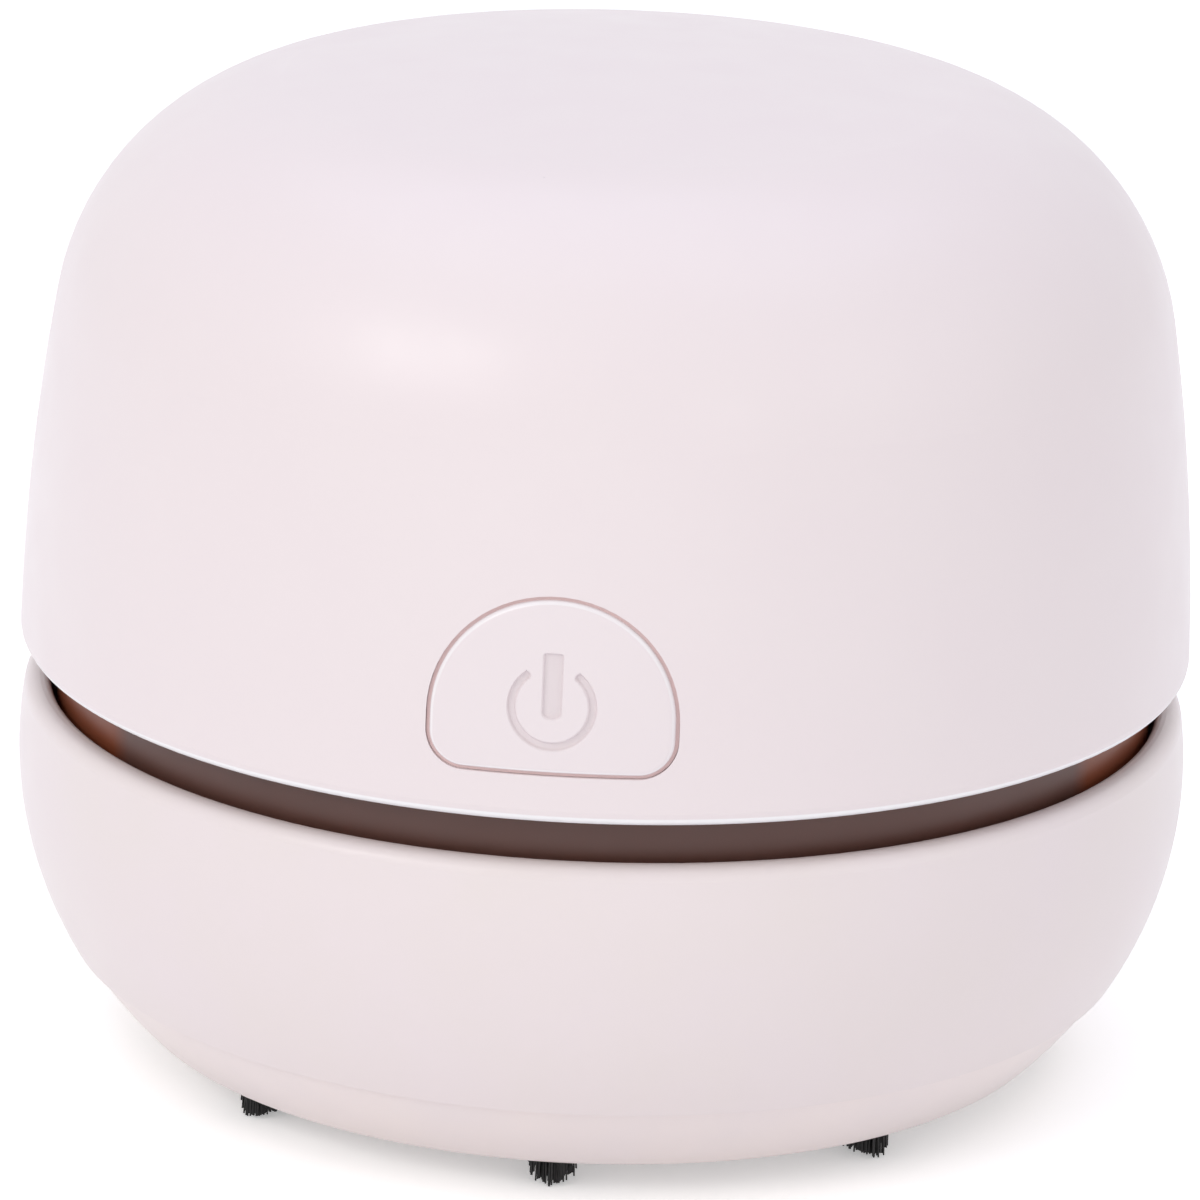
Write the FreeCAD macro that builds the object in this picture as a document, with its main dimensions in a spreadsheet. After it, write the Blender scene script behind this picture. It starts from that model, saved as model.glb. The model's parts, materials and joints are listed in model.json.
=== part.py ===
import FreeCAD, Part
import math
import os
import re
import Sketcher
from FreeCAD import Placement, Rotation, Vector

# Desktop mini vacuum cleaner, in millimetres, +Z up, standing on its brush tufts at z = 0.
# The axis of the motor, the fan and the suction mouth is the Z axis, and the power button faces -Y.

TUFT_COUNT = 8
LUG_COUNT = 3
WINDOW_COUNT = 6
BLADE_COUNT = 8
PLATE_SCREW_COUNT = 4
MOUNT_SCREW_COUNT = 3
INNER_FILTER_WINDOWS = 4
OUTER_FILTER_WINDOWS = 8
GUARD_WINDOWS = 6
OVER = "1"  # a cutting tool reaches this far past the faces that it cuts
FIRST_TUFT = -90.0  # degrees: the first tuft stands below the button
FIRST_PLATE_SCREW = 22.5  # degrees: the screws stand between the tufts

SIZES = [
    # the two shells
    ("body_radius", 42.0, "radius of both shells at their widest"),
    ("dome_height", 42.5, "upper shell, from its lower edge to its crown"),
    ("crown_curve", 153.0, "radius of the crown's arc"),
    ("shoulder_curve", 18.8, "radius of the shoulder's arc"),
    ("wall_curve", 168.7, "radius of the side wall's arc"),
    ("widest_drop", 3.4, "widest level of the upper shell's wall, below its lower edge"),
    ("dome_wall", 1.6, "wall of the upper shell"),
    ("skirt_round", 1.0, "round on the upper shell's lower edge"),
    ("slot_height", 3.0, "gap between the shells, where the air leaves"),
    ("bowl_height", 18.9, "lower shell, from its seam to its lip"),
    ("bowl_curve", 27.2, "radius of the lower shell's side arc"),
    ("bowl_widest", 13.75, "widest level of the lower shell, above its seam"),
    ("bowl_wall", 1.8, "wall of the lower shell"),
    ("lip_round", 1.1, "round on the outside of the lip"),
    ("lip_inner_round", 0.5, "round on the inside of the lip"),
    ("shell_floor", 1.5, "floor of the lower shell"),
    # base plate, mouth and brushes
    ("foot_height", 5.6, "base plate, from its underside to the seam"),
    ("plate_thick", 2.0, "floor of the base plate"),
    ("plate_wall", 1.6, "rim wall of the base plate"),
    ("plate_round", 1.0, "round on the base plate's lower edge"),
    ("seam_step", 0.35, "set-back of the base plate at the seam"),
    ("mouth_radius", 13.0, "suction mouth in the base plate"),
    ("tuft_drop", 2.5, "bristles below the base plate"),
    ("tuft_setback", 12.0, "circle that the tufts stand on, inside the body's radius"),
    ("tuft_radius", 1.8, "one bristle bundle"),
    ("tuft_depth", 3.0, "bristle bundle inside its socket"),
    ("socket_wall", 1.1, "wall and cap of a tuft socket"),
    ("plate_screw_setback", 20.0, "circle of the base plate's screws, inside the body's radius"),
    ("plate_boss", 2.6, "radius of the bosses for the base plate's screws"),
    ("plate_boss_root", 0.2, "bosses inside the lower shell's floor"),
    ("plate_pilot_end", 0.6, "floor left above a pilot hole in the lower shell"),
    ("head_sink", 0.1, "screw heads above the base plate's underside"),
    # inlet tube and dust cup
    ("tube_bore", 8.0, "bore of the inlet tube"),
    ("tube_wall", 1.4, "wall of the inlet tube"),
    ("tube_height", 20.0, "inlet tube above the base plate's underside"),
    ("tube_flange", 1.2, "width of the inlet tube's funnel rim"),
    ("tube_flange_thick", 0.7, "height of the inlet tube's funnel rim"),
    ("tube_play", 0.15, "inlet tube in the floors that it passes"),
    ("funnel_outside_gap", 0.2, "top of the funnel below the lower shell, outside"),
    ("funnel_inside_gap", 1.1, "top of the funnel below the lower shell, inside"),
    ("cup_setback", 2.7, "dust cup's wall behind the widest radius"),
    ("cup_wall", 1.6, "wall of the dust cup"),
    ("cup_gap", 0.3, "dust cup inside the lower shell"),
    ("collar_gap", 0.2, "collar inside the dust cup"),
    ("lug_reach", 1.4, "bayonet lug inwards of the dust cup's wall"),
    ("lug_height", 1.4, "height of a bayonet lug"),
    ("lug_drop", 2.8, "top of the lugs below the deck"),
    ("lug_half", 6.0, "half of a lug's angle, degrees"),
    ("lug_play", 0.25, "play of a lug in its channel"),
    ("lug_play_angle", 1.0, "play of a lug in its channel, degrees"),
    ("unlock_angle", 25.0, "turn that frees the dust cup, degrees"),
    # chassis
    ("deck_gap", 0.3, "deck below the button"),
    ("deck_thick", 1.5, "deck of the chassis"),
    ("seal_thick", 0.8, "seal ring between deck and dust cup"),
    ("seal_gap", 0.1, "seal ring above the dust cup's rim"),
    ("collar_depth", 6.8, "collar below the deck"),
    ("collar_wall", 2.7, "wall of the collar"),
    ("eye_radius", 13.0, "air hole in the deck"),
    ("volute_inner", 18.2, "wall around the fan, inside"),
    ("volute_wall", 1.5, "wall around the fan"),
    ("volute_height", 10.0, "wall around the fan, above the deck"),
    ("window_width", 9.0, "air window in the fan's wall"),
    ("window_edge", 1.5, "edge above and below an air window"),
    ("mount_screw_reach", 1.9, "circle of the motor mount's screws, outside the fan's wall"),
    ("mount_boss", 2.2, "radius of the motor mount's bosses"),
    ("mount_pilot_depth", 6.0, "pilot hole in a boss of the motor mount"),
    ("post_setback", 11.5, "circle of the upper shell's screw posts, inside the body's radius"),
    ("post_gap", 0.6, "screw posts beside the battery cell"),
    ("post_radius", 2.4, "upper shell's screw posts"),
    ("post_pilot_depth", 7.0, "pilot hole in a post"),
    # screws
    ("screw_radius", 1.0, "thread of every screw"),
    ("screw_head", 1.9, "radius of a screw's head"),
    ("screw_head_height", 1.1, "height of a screw's head"),
    ("screw_play", 0.15, "clearance hole over the thread"),
    ("pilot_play", 0.03, "pilot hole over the thread"),
    ("screw_tip_gap", 0.5, "screw's tip before the end of its pilot hole"),
    ("recess_radius", 0.8, "driver's recess in a screw's head"),
    ("recess_depth", 0.6, "driver's recess in a screw's head"),
    # fan and motor
    ("fan_radius", 16.5, "impeller"),
    ("fan_gap", 0.8, "impeller above its guard"),
    ("fan_height", 7.0, "impeller"),
    ("fan_plate", 1.2, "back plate of the impeller"),
    ("hub_radius", 3.2, "hub of the impeller"),
    ("blade_thick", 1.0, "impeller blade"),
    ("blade_curve", 16.0, "radius of a blade's arc"),
    ("blade_sweep", 5.0, "offset of a blade's tip"),
    ("blade_tip_gap", 0.3, "blade's tip inside the back plate's edge"),
    ("blade_root", 0.6, "blade inside the hub"),
    ("guard_radius", 17.4, "fan guard"),
    ("guard_thick", 1.0, "fan guard"),
    ("guard_ring", 7.2, "radius between the guard's inner and outer windows"),
    ("guard_rib", 1.2, "ribs of the fan guard"),
    ("guard_hub", 2.4, "closed middle of the fan guard"),
    ("guard_inner_rib", 8.0, "half a rib between the guard's inner windows, degrees"),
    ("guard_outer_rib", 4.0, "half a rib between the guard's outer windows, degrees"),
    ("shaft_radius", 1.0, "motor shaft"),
    ("shaft_play", 0.05, "motor shaft in its bearing"),
    ("shaft_end", 4.0, "motor shaft's end below the top of the motor can"),
    ("bearing_gap", 0.5, "room above the motor shaft's end"),
    ("motor_radius", 12.2, "motor can"),
    ("motor_round", 0.8, "round on the motor can's upper edge"),
    ("motor_nose", 3.4, "bearing nose of the motor"),
    ("motor_nose_height", 1.2, "bearing nose of the motor"),
    ("nose_play", 0.2, "nose in the motor mount"),
    ("end_cap_radius", 10.6, "motor end cap"),
    ("end_cap_height", 3.2, "motor end cap"),
    ("end_cap_round", 0.6, "round on the motor end cap's edge"),
    ("end_bearing_height", 0.8, "bearing seat on the motor end cap"),
    ("terminal_height", 2.0, "motor terminals"),
    ("terminal_width", 2.4, "motor terminals"),
    ("terminal_thick", 0.5, "motor terminals"),
    ("terminal_offset", 6.0, "motor terminals from the axis"),
    ("crown_gap", 3.0, "motor terminals below the upper shell's crown"),
    ("mount_thick", 1.6, "plate of the motor mount"),
    ("mount_ear", 0.3, "ears of the motor mount outside its bosses"),
    ("sleeve_thick", 1.3, "rubber sleeve around the motor"),
    ("sleeve_height", 7.0, "rubber sleeve around the motor"),
    ("cradle_wall", 1.5, "wall around the rubber sleeve"),
    ("cradle_height", 8.0, "wall around the rubber sleeve"),
    ("clamp_post_x", 17.2, "posts of the motor clamp from the axis"),
    ("clamp_post_radius", 2.4, "posts of the motor clamp"),
    ("clamp_play", 0.2, "clamp around the end cap"),
    ("clamp_thick", 1.6, "motor clamp"),
    ("clamp_pilot_depth", 7.0, "pilot hole in a post of the motor clamp"),
    # filter
    ("filter_play", 0.1, "filter frame in the collar"),
    ("filter_height", 4.6, "filter frame"),
    ("filter_rim", 1.8, "rim of the filter frame"),
    ("filter_grid", 1.0, "grid under the filter disc"),
    ("filter_rib", 2.2, "ribs of the filter grid"),
    ("filter_hub", 3.3, "closed middle of the filter grid"),
    ("filter_inner_rib", 12.0, "half a rib between the inner windows, degrees"),
    ("filter_outer_rib", 4.0, "half a rib between the outer windows, degrees"),
    ("filter_disc_thick", 0.8, "filter disc"),
    # battery
    ("cell_radius", 5.0, "battery cell"),
    ("cell_clear", 2.8, "battery cell's corners inside the upper shell"),
    ("cell_button", 1.0, "button end of the battery cell"),
    ("cell_button_radius", 2.0, "button end of the battery cell"),
    ("cell_gap", 0.8, "battery cell beside the fan's wall"),
    ("cell_lift", 1.2, "battery cell above the deck"),
    ("cradle_play", 0.1, "battery cell in its holder"),
    ("holder_half", 4.4, "half the width of the battery holder"),
    ("holder_end", 1.3, "end walls of the battery holder"),
    ("holder_end_half", 3.0, "half the width of an end wall"),
    ("holder_end_rise", 3.5, "end walls above the cell's axis"),
    ("holder_floor", 0.9, "floor of the battery holder"),
    ("saddle_gap", 1.0, "saddle of the battery holder short of the contacts"),
    ("saddle_drop", 1.7, "saddle's edge below the cell's axis"),
    ("contact_thick", 0.4, "battery contacts"),
    # charging board
    ("board_setback", 4.5, "outer edge of the charging board inside the body's radius"),
    ("board_length", 12.0, "charging board along Y"),
    ("board_half", 11.0, "half the width of the charging board"),
    ("board_thick", 1.0, "charging board"),
    ("board_lift", 4.0, "charging board above the deck"),
    ("rail_width", 3.6, "rails under the charging board"),
    ("bridge_gap", 1.0, "bridge between the rails below the charging board"),
    ("board_screw_inset", 2.2, "charging board's screws from its inner edge"),
    ("board_pilot_depth", 3.5, "pilot hole in a rail"),
    ("usb_half", 4.47, "half the width of the charging socket"),
    ("usb_height", 3.2, "height of the charging socket"),
    ("usb_length", 8.6, "length of the charging socket"),
    ("usb_tongue_half", 3.3, "half the width of the charging socket's tongue"),
    ("usb_tongue_thick", 0.7, "thickness of the charging socket's tongue"),
    ("usb_tongue_inset", 0.8, "tongue's tip inside the socket's mouth"),
    ("usb_wall", 0.3, "sheet of the charging socket"),
    ("usb_inset", 0.6, "charging socket's mouth inside the upper shell's surface"),
    ("port_play", 0.3, "port in the upper shell around the socket"),
    ("light_x", 8.4, "status light beside the port"),
    ("light_radius", 0.9, "light pipe"),
    ("light_play", 0.1, "light pipe in its hole"),
    ("light_sink", 0.05, "light pipe's end below the upper shell's surface"),
    ("light_inset", 1.0, "light pipe's inner end from the charging board's outer edge"),
    # power button and switch
    ("button_rise", 3.4, "button above the upper shell's lower edge"),
    ("button_width", 16.9, "button"),
    ("button_side", 1.15, "straight side of the button between its corner and its arch"),
    ("button_corner", 2.6, "lower corners of the button"),
    ("button_gap", 0.2, "button in its hole"),
    ("button_proud", 0.2, "button's face outside the shell's surface"),
    ("button_depth", 4.6, "back of the button inside the body's radius"),
    ("button_travel", 1.2, "travel of the button"),
    ("flange_lip", 0.9, "button's flange behind the edge of its hole"),
    ("flange_gap", 0.1, "button's flange behind the shell"),
    ("symbol_depth", 0.35, "recess of the power symbol"),
    ("symbol_rise", 4.8, "centre of the symbol's ring above the button's lower edge"),
    ("symbol_radius", 2.95, "power symbol's ring"),
    ("symbol_line", 0.5, "line of the power symbol's ring"),
    ("symbol_bar", 1.3, "bar of the power symbol"),
    ("symbol_bar_low", 0.8, "bar's lower end below the ring's centre"),
    ("symbol_bar_high", 3.6, "bar's upper end above the ring's centre"),
    ("symbol_opening", 3.3, "opening at the top of the ring"),
    ("stem_radius", 1.6, "button's stem"),
    ("stem_length", 2.8, "button's stem behind its back"),
    ("spring_pocket", 3.4, "pocket for the spring in the button's back"),
    ("spring_pocket_depth", 2.4, "pocket for the spring in the button's back"),
    ("spring_radius", 2.5, "return spring, to the middle of its wire"),
    ("spring_wire", 0.22, "radius of the spring's wire"),
    ("spring_turns", 3.5, "turns of the return spring"),
    ("spring_end_gap", 0.03, "return spring from what it rests on"),
    ("guide_gap", 0.4, "guide behind the pressed button"),
    ("guide_thick", 1.4, "plate of the button guide"),
    ("guide_half", 10.0, "half the width of the button guide"),
    ("guide_foot", 3.4, "feet of the button guide"),
    ("foot_thick", 1.4, "feet of the button guide and the switch bracket"),
    ("stem_play", 0.15, "stem in the guide"),
    ("plunger_radius", 1.5, "switch plunger"),
    ("plunger_reach", 2.2, "plunger in front of the switch"),
    ("plunger_inside", 1.6, "plunger inside the switch"),
    ("plunger_play", 0.1, "plunger in the switch"),
    ("plunger_end_gap", 0.2, "pressed plunger before the end of its bore"),
    ("switch_half", 3.5, "half the side of the switch"),
    ("switch_depth", 4.2, "switch body along the button's travel"),
    ("bracket_half", 6.0, "half the width of the switch bracket"),
    ("bracket_thick", 1.2, "switch bracket"),
    ("bracket_rim", 1.0, "switch bracket above the switch"),
    ("wire_radius", 0.55, "every wire"),
    ("wire_bend", 2.2, "bend of every wire"),
    ("pad_inset", 5.2, "near row of wire pads from the charging board's inner edge"),
    ("far_pad_inset", 8.0, "far row of wire pads from the charging board's inner edge"),
    ("wire_pitch", 2.0, "wires of a pair, side by side"),
    ("wire_rise", 8.5, "wires rise from the charging board before they turn"),
    ("wire_over", 2.6, "wires pass this far over what lies below them"),
    ("wire_exit", 3.2, "wires leave a wall straight for this length"),
    ("motor_wire_reach", 6.0, "motor wires pass the motor's cradle before they turn down"),
    ("wire_outside", 6.2, "switch wires outside the motor mount's screws"),
]

CHIPS = [
    # name, middle across the board, width, edge from the board's inner edge, length, height
    ("charger_chip", -0.5, 5.0, 0.8, 3.4, 1.2),
    ("coil", 4.5, 3.0, 0.9, 3.0, 1.8),
    ("capacitor", -5.2, 1.6, 1.2, 2.6, 1.1),
]
for chip, middle, width, near, length, height in CHIPS:
    SIZES += [
        (f"{chip}_middle", middle, f"{chip} across the charging board"),
        (f"{chip}_width", width, f"{chip} across the charging board"),
        (f"{chip}_near", near, f"{chip} from the charging board's inner edge"),
        (f"{chip}_length", length, f"{chip} along the charging board"),
        (f"{chip}_height", height, f"{chip} above the charging board"),
    ]
SIZES += [
    ("light_source_width", 2.0, "lamp of the status light"),
    ("light_source_length", 1.3, "lamp of the status light"),
    ("light_source_height", 1.6, "lamp of the status light"),
]

FORMULAS = {
    "base_z": "tuft_drop",
    "plate_top_z": "base_z + plate_thick",
    "seam_z": "base_z + foot_height",
    "shell_floor_z": "seam_z + shell_floor",
    "lip_z": "seam_z + bowl_height",
    "skirt_z": "lip_z + slot_height",
    "top_z": "skirt_z + dome_height",
    "widest_z": "skirt_z - widest_drop",
    "bowl_widest_z": "seam_z + bowl_widest",
    "bowl_centre": "body_radius - bowl_curve",
    "wall_centre": "body_radius - wall_curve",
    "button_height": "button_width / 2 + button_corner + button_side",
    "button_low_z": "skirt_z + button_rise",
    "button_axis_z": "button_low_z + button_height / 2",
    "deck_top_z": "button_low_z - deck_gap",
    "deck_z": "deck_top_z - deck_thick",
    "rim_z": "deck_z - seal_thick - seal_gap",
    "cup_outer": "body_radius - cup_setback",
    "cup_inner": "cup_outer - cup_wall",
    "cup_curve": "bowl_curve - bowl_wall - cup_gap",
    "knee_z": "bowl_widest_z - sqrt(cup_curve^2 - (cup_outer - bowl_centre)^2)",
    "tube_outer": "tube_bore + tube_wall",
    "tube_hole": "tube_outer + tube_play",
    "tuft_circle": "body_radius - tuft_setback",
    "plate_screw_circle": "body_radius - plate_screw_setback",
    "plate_pilot_top_z": "shell_floor_z - plate_pilot_end",
    "collar_outer": "cup_inner - collar_gap",
    "collar_inner": "collar_outer - collar_wall",
    "collar_z": "deck_z - collar_depth",
    "lug_top_z": "deck_z - lug_drop",
    "lug_low_z": "lug_top_z - lug_height",
    "lug_tip": "cup_inner - lug_reach",
    "channel_low_z": "lug_low_z - lug_play",
    "channel_top_z": "lug_top_z + lug_play",
    "channel_floor": "lug_tip - lug_play",
    "channel_start": "0 - lug_half - lug_play_angle",
    "channel_end": "unlock_angle + lug_half + lug_play_angle",
    "gate_start": "unlock_angle - lug_half - lug_play_angle",
    "volute_outer": "volute_inner + volute_wall",
    "volute_top_z": "deck_top_z + volute_height",
    "mount_top_z": "volute_top_z + mount_thick",
    "mount_screw_circle": "volute_outer + mount_screw_reach",
    "post_x": "volute_outer + cell_gap - post_gap - post_radius",
    "post_y": "sqrt((body_radius - post_setback)^2 - post_x^2)",
    "cap_top_z": "top_z - dome_wall - crown_gap - terminal_height",
    "can_top_z": "cap_top_z - end_cap_height",
    "motor_height": "can_top_z - mount_top_z",
    "shaft_top_z": "can_top_z - shaft_end",
    "cradle_inner": "motor_radius + sleeve_thick",
    "cradle_outer": "cradle_inner + cradle_wall",
    "clamp_inner": "end_cap_radius + clamp_play",
    "fan_z": "deck_top_z + guard_thick + fan_gap",
    "fan_top_z": "fan_z + fan_height",
    "frame_outer": "collar_inner - filter_play",
    "frame_inner": "frame_outer - filter_rim",
    "frame_z": "deck_z - filter_height",
    "disc_z": "frame_z + filter_grid",
    "cell_x": "0 - volute_outer - cell_gap - cell_radius",
    "cell_z": "deck_top_z + cell_lift + cell_radius",
    "cell_corner": "volute_outer + cell_gap + 2 * cell_radius",
    "contact_y": "sqrt((body_radius - dome_wall - cell_clear)^2 - cell_corner^2)",
    "cell_length": "2 * contact_y - cell_button",
    "holder_y": "contact_y + contact_thick",
    "holder_floor_z": "deck_top_z + holder_floor",
    "holder_end_z": "cell_z + holder_end_rise",
    "board_far": "body_radius - board_setback",
    "board_near": "board_far - board_length",
    "board_z": "deck_top_z + board_lift",
    "board_top_z": "board_z + board_thick",
    "usb_z": "board_top_z + usb_height / 2",
    "shell_outside_y": "wall_centre + sqrt(wall_curve^2 - (usb_z - widest_z)^2)",
    "usb_mouth_y": "shell_outside_y - usb_inset",
    "port_y": "shell_outside_y - dome_wall",
    "light_z": "board_top_z + light_radius",
    "button_back": "body_radius - button_depth",
    "guide_front": "button_back - button_travel - guide_gap",
    "guide_back": "guide_front - guide_thick",
    "stem_tip": "button_back - stem_length",
    "switch_front": "stem_tip - plunger_reach",
    "switch_back": "switch_front - switch_depth",
    "bracket_back": "switch_back - bracket_thick",
    "bracket_screw_y": "(bracket_back + switch_front) / 2",
    "light_y": "board_far - light_inset",
    "screw_hole": "screw_radius + screw_play",
    "pilot": "screw_radius + pilot_play",
    "plate_head_z": "base_z + screw_head_height + head_sink",
}

doc = FreeCAD.newDocument("desktop_vacuum")
sheet = doc.addObject("Spreadsheet::Sheet", "sizes")
for row, (alias, number, note) in enumerate(SIZES, start=1):
    sheet.set(f"A{row}", note)
    sheet.set(f"B{row}", str(number))
    sheet.setAlias(f"B{row}", alias)
ALIASES = {size[0] for size in SIZES}
doc.recompute()


# ---------------------------------------------------------------- expressions and drawing

def expression(text):
    """Write text's formulas out in full and let its sizes be read from the sheet."""
    def written(match):
        word = match.group(0)
        if word in FORMULAS:
            return "(" + expression(FORMULAS[word]) + ")"
        if word in ALIASES:
            return "sizes." + word
        return word
    return re.sub(r"[A-Za-z_][A-Za-z_0-9]*", written, text)


def value(text):
    """Return the number that a text of sizes and formulas stands for."""
    return float(sheet.evalExpression(expression(text)))


def bind(item, **texts):
    """Bind each named property of item to a text of sizes and formulas."""
    for name, text in texts.items():
        item.setExpression(name, expression(text))


def place(item, x="0", y="0", z="0", turn=None):
    """Bind item's place, with an optional fixed rotation."""
    if turn is not None:
        item.Placement = Placement(Vector(), turn)
    for axis, text in (("x", x), ("y", y), ("z", z)):
        item.setExpression(f"Placement.Base.{axis}", expression(text))


def bowl_x(height, inset="0"):
    """Radius of the lower shell's side arc at a height, moved inwards by inset."""
    return f"(bowl_centre + sqrt((bowl_curve - ({inset}))^2 - (({height}) - bowl_widest_z)^2))"


def polar(radius, angle):
    """The X and Y texts of a point at a radius and an angle in degrees."""
    return f"({radius}) * cos({angle})", f"({radius}) * sin({angle})"


def arc_between(start, end, radius, anticlockwise):
    """The shorter arc of a radius from start to end."""
    along = end - start
    middle = (start + end) * 0.5
    side = Vector(-along.y, along.x, 0).normalize()
    reach = math.sqrt(max(radius ** 2 - (along.Length / 2) ** 2, 0.0))
    centre = middle + side * (reach if anticlockwise else -reach)
    first, last = (start, end) if anticlockwise else (end, start)
    low = math.atan2(first.y - centre.y, first.x - centre.x)
    high = math.atan2(last.y - centre.y, last.x - centre.x)
    if high <= low:
        high += 2 * math.pi
    return Part.ArcOfCircle(Part.Circle(centre, Vector(0, 0, 1), radius), low, high)


def constrain(sketch, kind, *arguments, to=None):
    """Add a constraint, and bind its datum to a text if one is given."""
    if to is None:
        return sketch.addConstraint(Sketcher.Constraint(kind, *arguments))
    index = sketch.addConstraint(Sketcher.Constraint(kind, *arguments, value(to)))
    sketch.setExpression(f"Constraints[{index}]", expression(to))
    return index


def draw(sketch, outline):
    """Draw a closed outline: each corner is (x, y), or (x, y, "ccw" or "cw", radius) for an arc to it."""
    corners = [Vector(value(corner[0]), value(corner[1]), 0) for corner in outline]
    ends = []
    for index, corner in enumerate(outline):
        start, end = corners[index - 1], corners[index]
        if len(corner) == 2:
            edge = sketch.addGeometry(Part.LineSegment(start, end), False)
            ends.append((edge, 1, 2))
        else:
            turn, radius = corner[2:]
            arc = arc_between(start, end, value(radius), turn == "ccw")
            edge = sketch.addGeometry(arc, False)
            ends.append((edge, 1, 2) if turn == "ccw" else (edge, 2, 1))
            constrain(sketch, "Radius", edge, to=radius)
    for index, corner in enumerate(outline):
        edge, _, last = ends[index]
        following, first, _ = ends[(index + 1) % len(ends)]
        constrain(sketch, "Coincident", edge, last, following, first)
        constrain(sketch, "DistanceX", -1, 1, edge, last, to=corner[0])
        constrain(sketch, "DistanceY", -1, 1, edge, last, to=corner[1])


def draw_circles(sketch, circles):
    """Draw circles, each (x, y, radius)."""
    for x, y, radius in circles:
        circle = Part.Circle(Vector(value(x), value(y), 0), Vector(0, 0, 1), value(radius))
        edge = sketch.addGeometry(circle, False)
        constrain(sketch, "Radius", edge, to=radius)
        constrain(sketch, "DistanceX", -1, 1, edge, 3, to=x)
        constrain(sketch, "DistanceY", -1, 1, edge, 3, to=y)


# ---------------------------------------------------------------- bodies and their features

def new_body(name):
    return doc.addObject("PartDesign::Body", name)


def origin_part(body, role):
    return [part for part in body.Origin.OriginFeatures if part.Role == role][0]


def new_sketch(body, name, plane="XY_Plane", offset="0"):
    """A sketch on one of the body's own origin planes, moved along its normal by offset."""
    sketch = body.newObject("Sketcher::SketchObject", name)
    sketch.AttachmentSupport = [(origin_part(body, plane), "")]
    sketch.MapMode = "FlatFace"
    sketch.setExpression("AttachmentOffset.Base.z", expression(offset))
    return sketch


def settle(body, feature, grows):
    """Recompute with feature as the body's tip, and make sure that it adds or cuts material."""
    before = 0.0 if body.Shape.isNull() else body.Shape.Volume
    body.Tip = feature
    doc.recompute()
    if not feature.isValid():
        raise RuntimeError(f"{feature.Name}: {feature.getStatusString()}")
    change = body.Shape.Volume - before
    if grows is not None and (change <= 0) == grows:
        raise RuntimeError(f"{feature.Name} changed the volume by {change:.3f}")


def revolve(body, outline, name="turned"):
    """Turn an outline of radius and height around the Z axis."""
    sketch = new_sketch(body, f"{body.Name}_{name}_outline", "XZ_Plane")
    draw(sketch, outline)
    feature = body.newObject("PartDesign::Revolution", f"{body.Name}_{name}")
    feature.Profile = sketch
    feature.ReferenceAxis = (sketch, ["V_Axis"])
    feature.Angle = 360.0
    settle(body, feature, True)
    return feature


def pad(body, name, low, length, outline=None, circles=(), plane="XY_Plane"):
    """Add material over an outline or circles, from low along the plane's normal."""
    sketch = new_sketch(body, f"{body.Name}_{name}_outline", plane, low)
    if outline:
        draw(sketch, outline)
    draw_circles(sketch, circles)
    feature = body.newObject("PartDesign::Pad", f"{body.Name}_{name}")
    feature.Profile = sketch
    bind(feature, Length=length)
    settle(body, feature, True)
    return feature


def cut(body, name, high, length, outline=None, circles=(), plane="XY_Plane"):
    """Cut an outline or circles, from high against the plane's normal."""
    sketch = new_sketch(body, f"{body.Name}_{name}_outline", plane, high)
    if outline:
        draw(sketch, outline)
    draw_circles(sketch, circles)
    feature = body.newObject("PartDesign::Pocket", f"{body.Name}_{name}")
    feature.Profile = sketch
    bind(feature, Length=length)
    settle(body, feature, False)
    return feature


def repeat(body, features, count, grows):
    """Repeat features around the Z axis."""
    pattern = body.newObject("PartDesign::PolarPattern", f"{features[0].Name}_ring")
    pattern.Originals = features
    pattern.Axis = (origin_part(body, "Z_Axis"), [""])
    pattern.Angle = 360.0
    pattern.Occurrences = count
    settle(body, pattern, grows)
    return pattern


def round_edges(body, name, radius, rings):
    """Fillet the body's circular edges, each named by its radius and height."""
    wanted = [(value(ring), value(height)) for ring, height in rings]
    names = []
    for index, edge in enumerate(body.Shape.Edges, start=1):
        if edge.Degenerated or not isinstance(edge.Curve, Part.Circle):
            continue
        size = (edge.Curve.Radius, edge.Curve.Center.z)
        if any(math.dist(size, ring) < 0.01 for ring in wanted):
            names.append(f"Edge{index}")
    if len(names) < len(rings):
        raise RuntimeError(f"{body.Name} has no edge to round for {name}")
    base = body.Tip
    feature = body.newObject("PartDesign::Fillet", f"{body.Name}_{name}")
    feature.Base = (base, names)
    bind(feature, Radius=radius)
    settle(body, feature, None)
    return feature


def sector(inner, outer, start, end):
    """Outline of a ring's sector between two angles in degrees."""
    return [
        polar(outer, start),
        (*polar(outer, end), "ccw", outer),
        polar(inner, end),
        (*polar(inner, start), "cw", inner),
    ]


def ring_points(count, radius, first=0.0):
    """X and Y texts of count points around the Z axis, the first at an angle in degrees."""
    return [polar(radius, str(first + 360.0 * index / count)) for index in range(count)]


def box_outline(low_x, high_x, low_y, high_y):
    return [(low_x, low_y), (high_x, low_y), (high_x, high_y), (low_x, high_y)]


# ---------------------------------------------------------------- simple solids and booleans

ALONG_Y = Rotation(Vector(1, 0, 0), -90)


def cylinder(name, radius, height, x="0", y="0", z="0", turn=None):
    item = doc.addObject("Part::Cylinder", name)
    bind(item, Radius=radius, Height=height)
    place(item, x, y, z, turn)
    return item


def block(name, low_x, high_x, low_y, high_y, low_z, high_z):
    item = doc.addObject("Part::Box", name)
    bind(item, Length=f"({high_x}) - ({low_x})", Width=f"({high_y}) - ({low_y})",
         Height=f"({high_z}) - ({low_z})")
    place(item, low_x, low_y, low_z)
    return item


def join(name, items):
    item = doc.addObject("Part::MultiFuse", name)
    item.Shapes = items
    return item


def gather(name, items):
    item = doc.addObject("Part::Compound", name)
    item.Links = items
    return item


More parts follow.
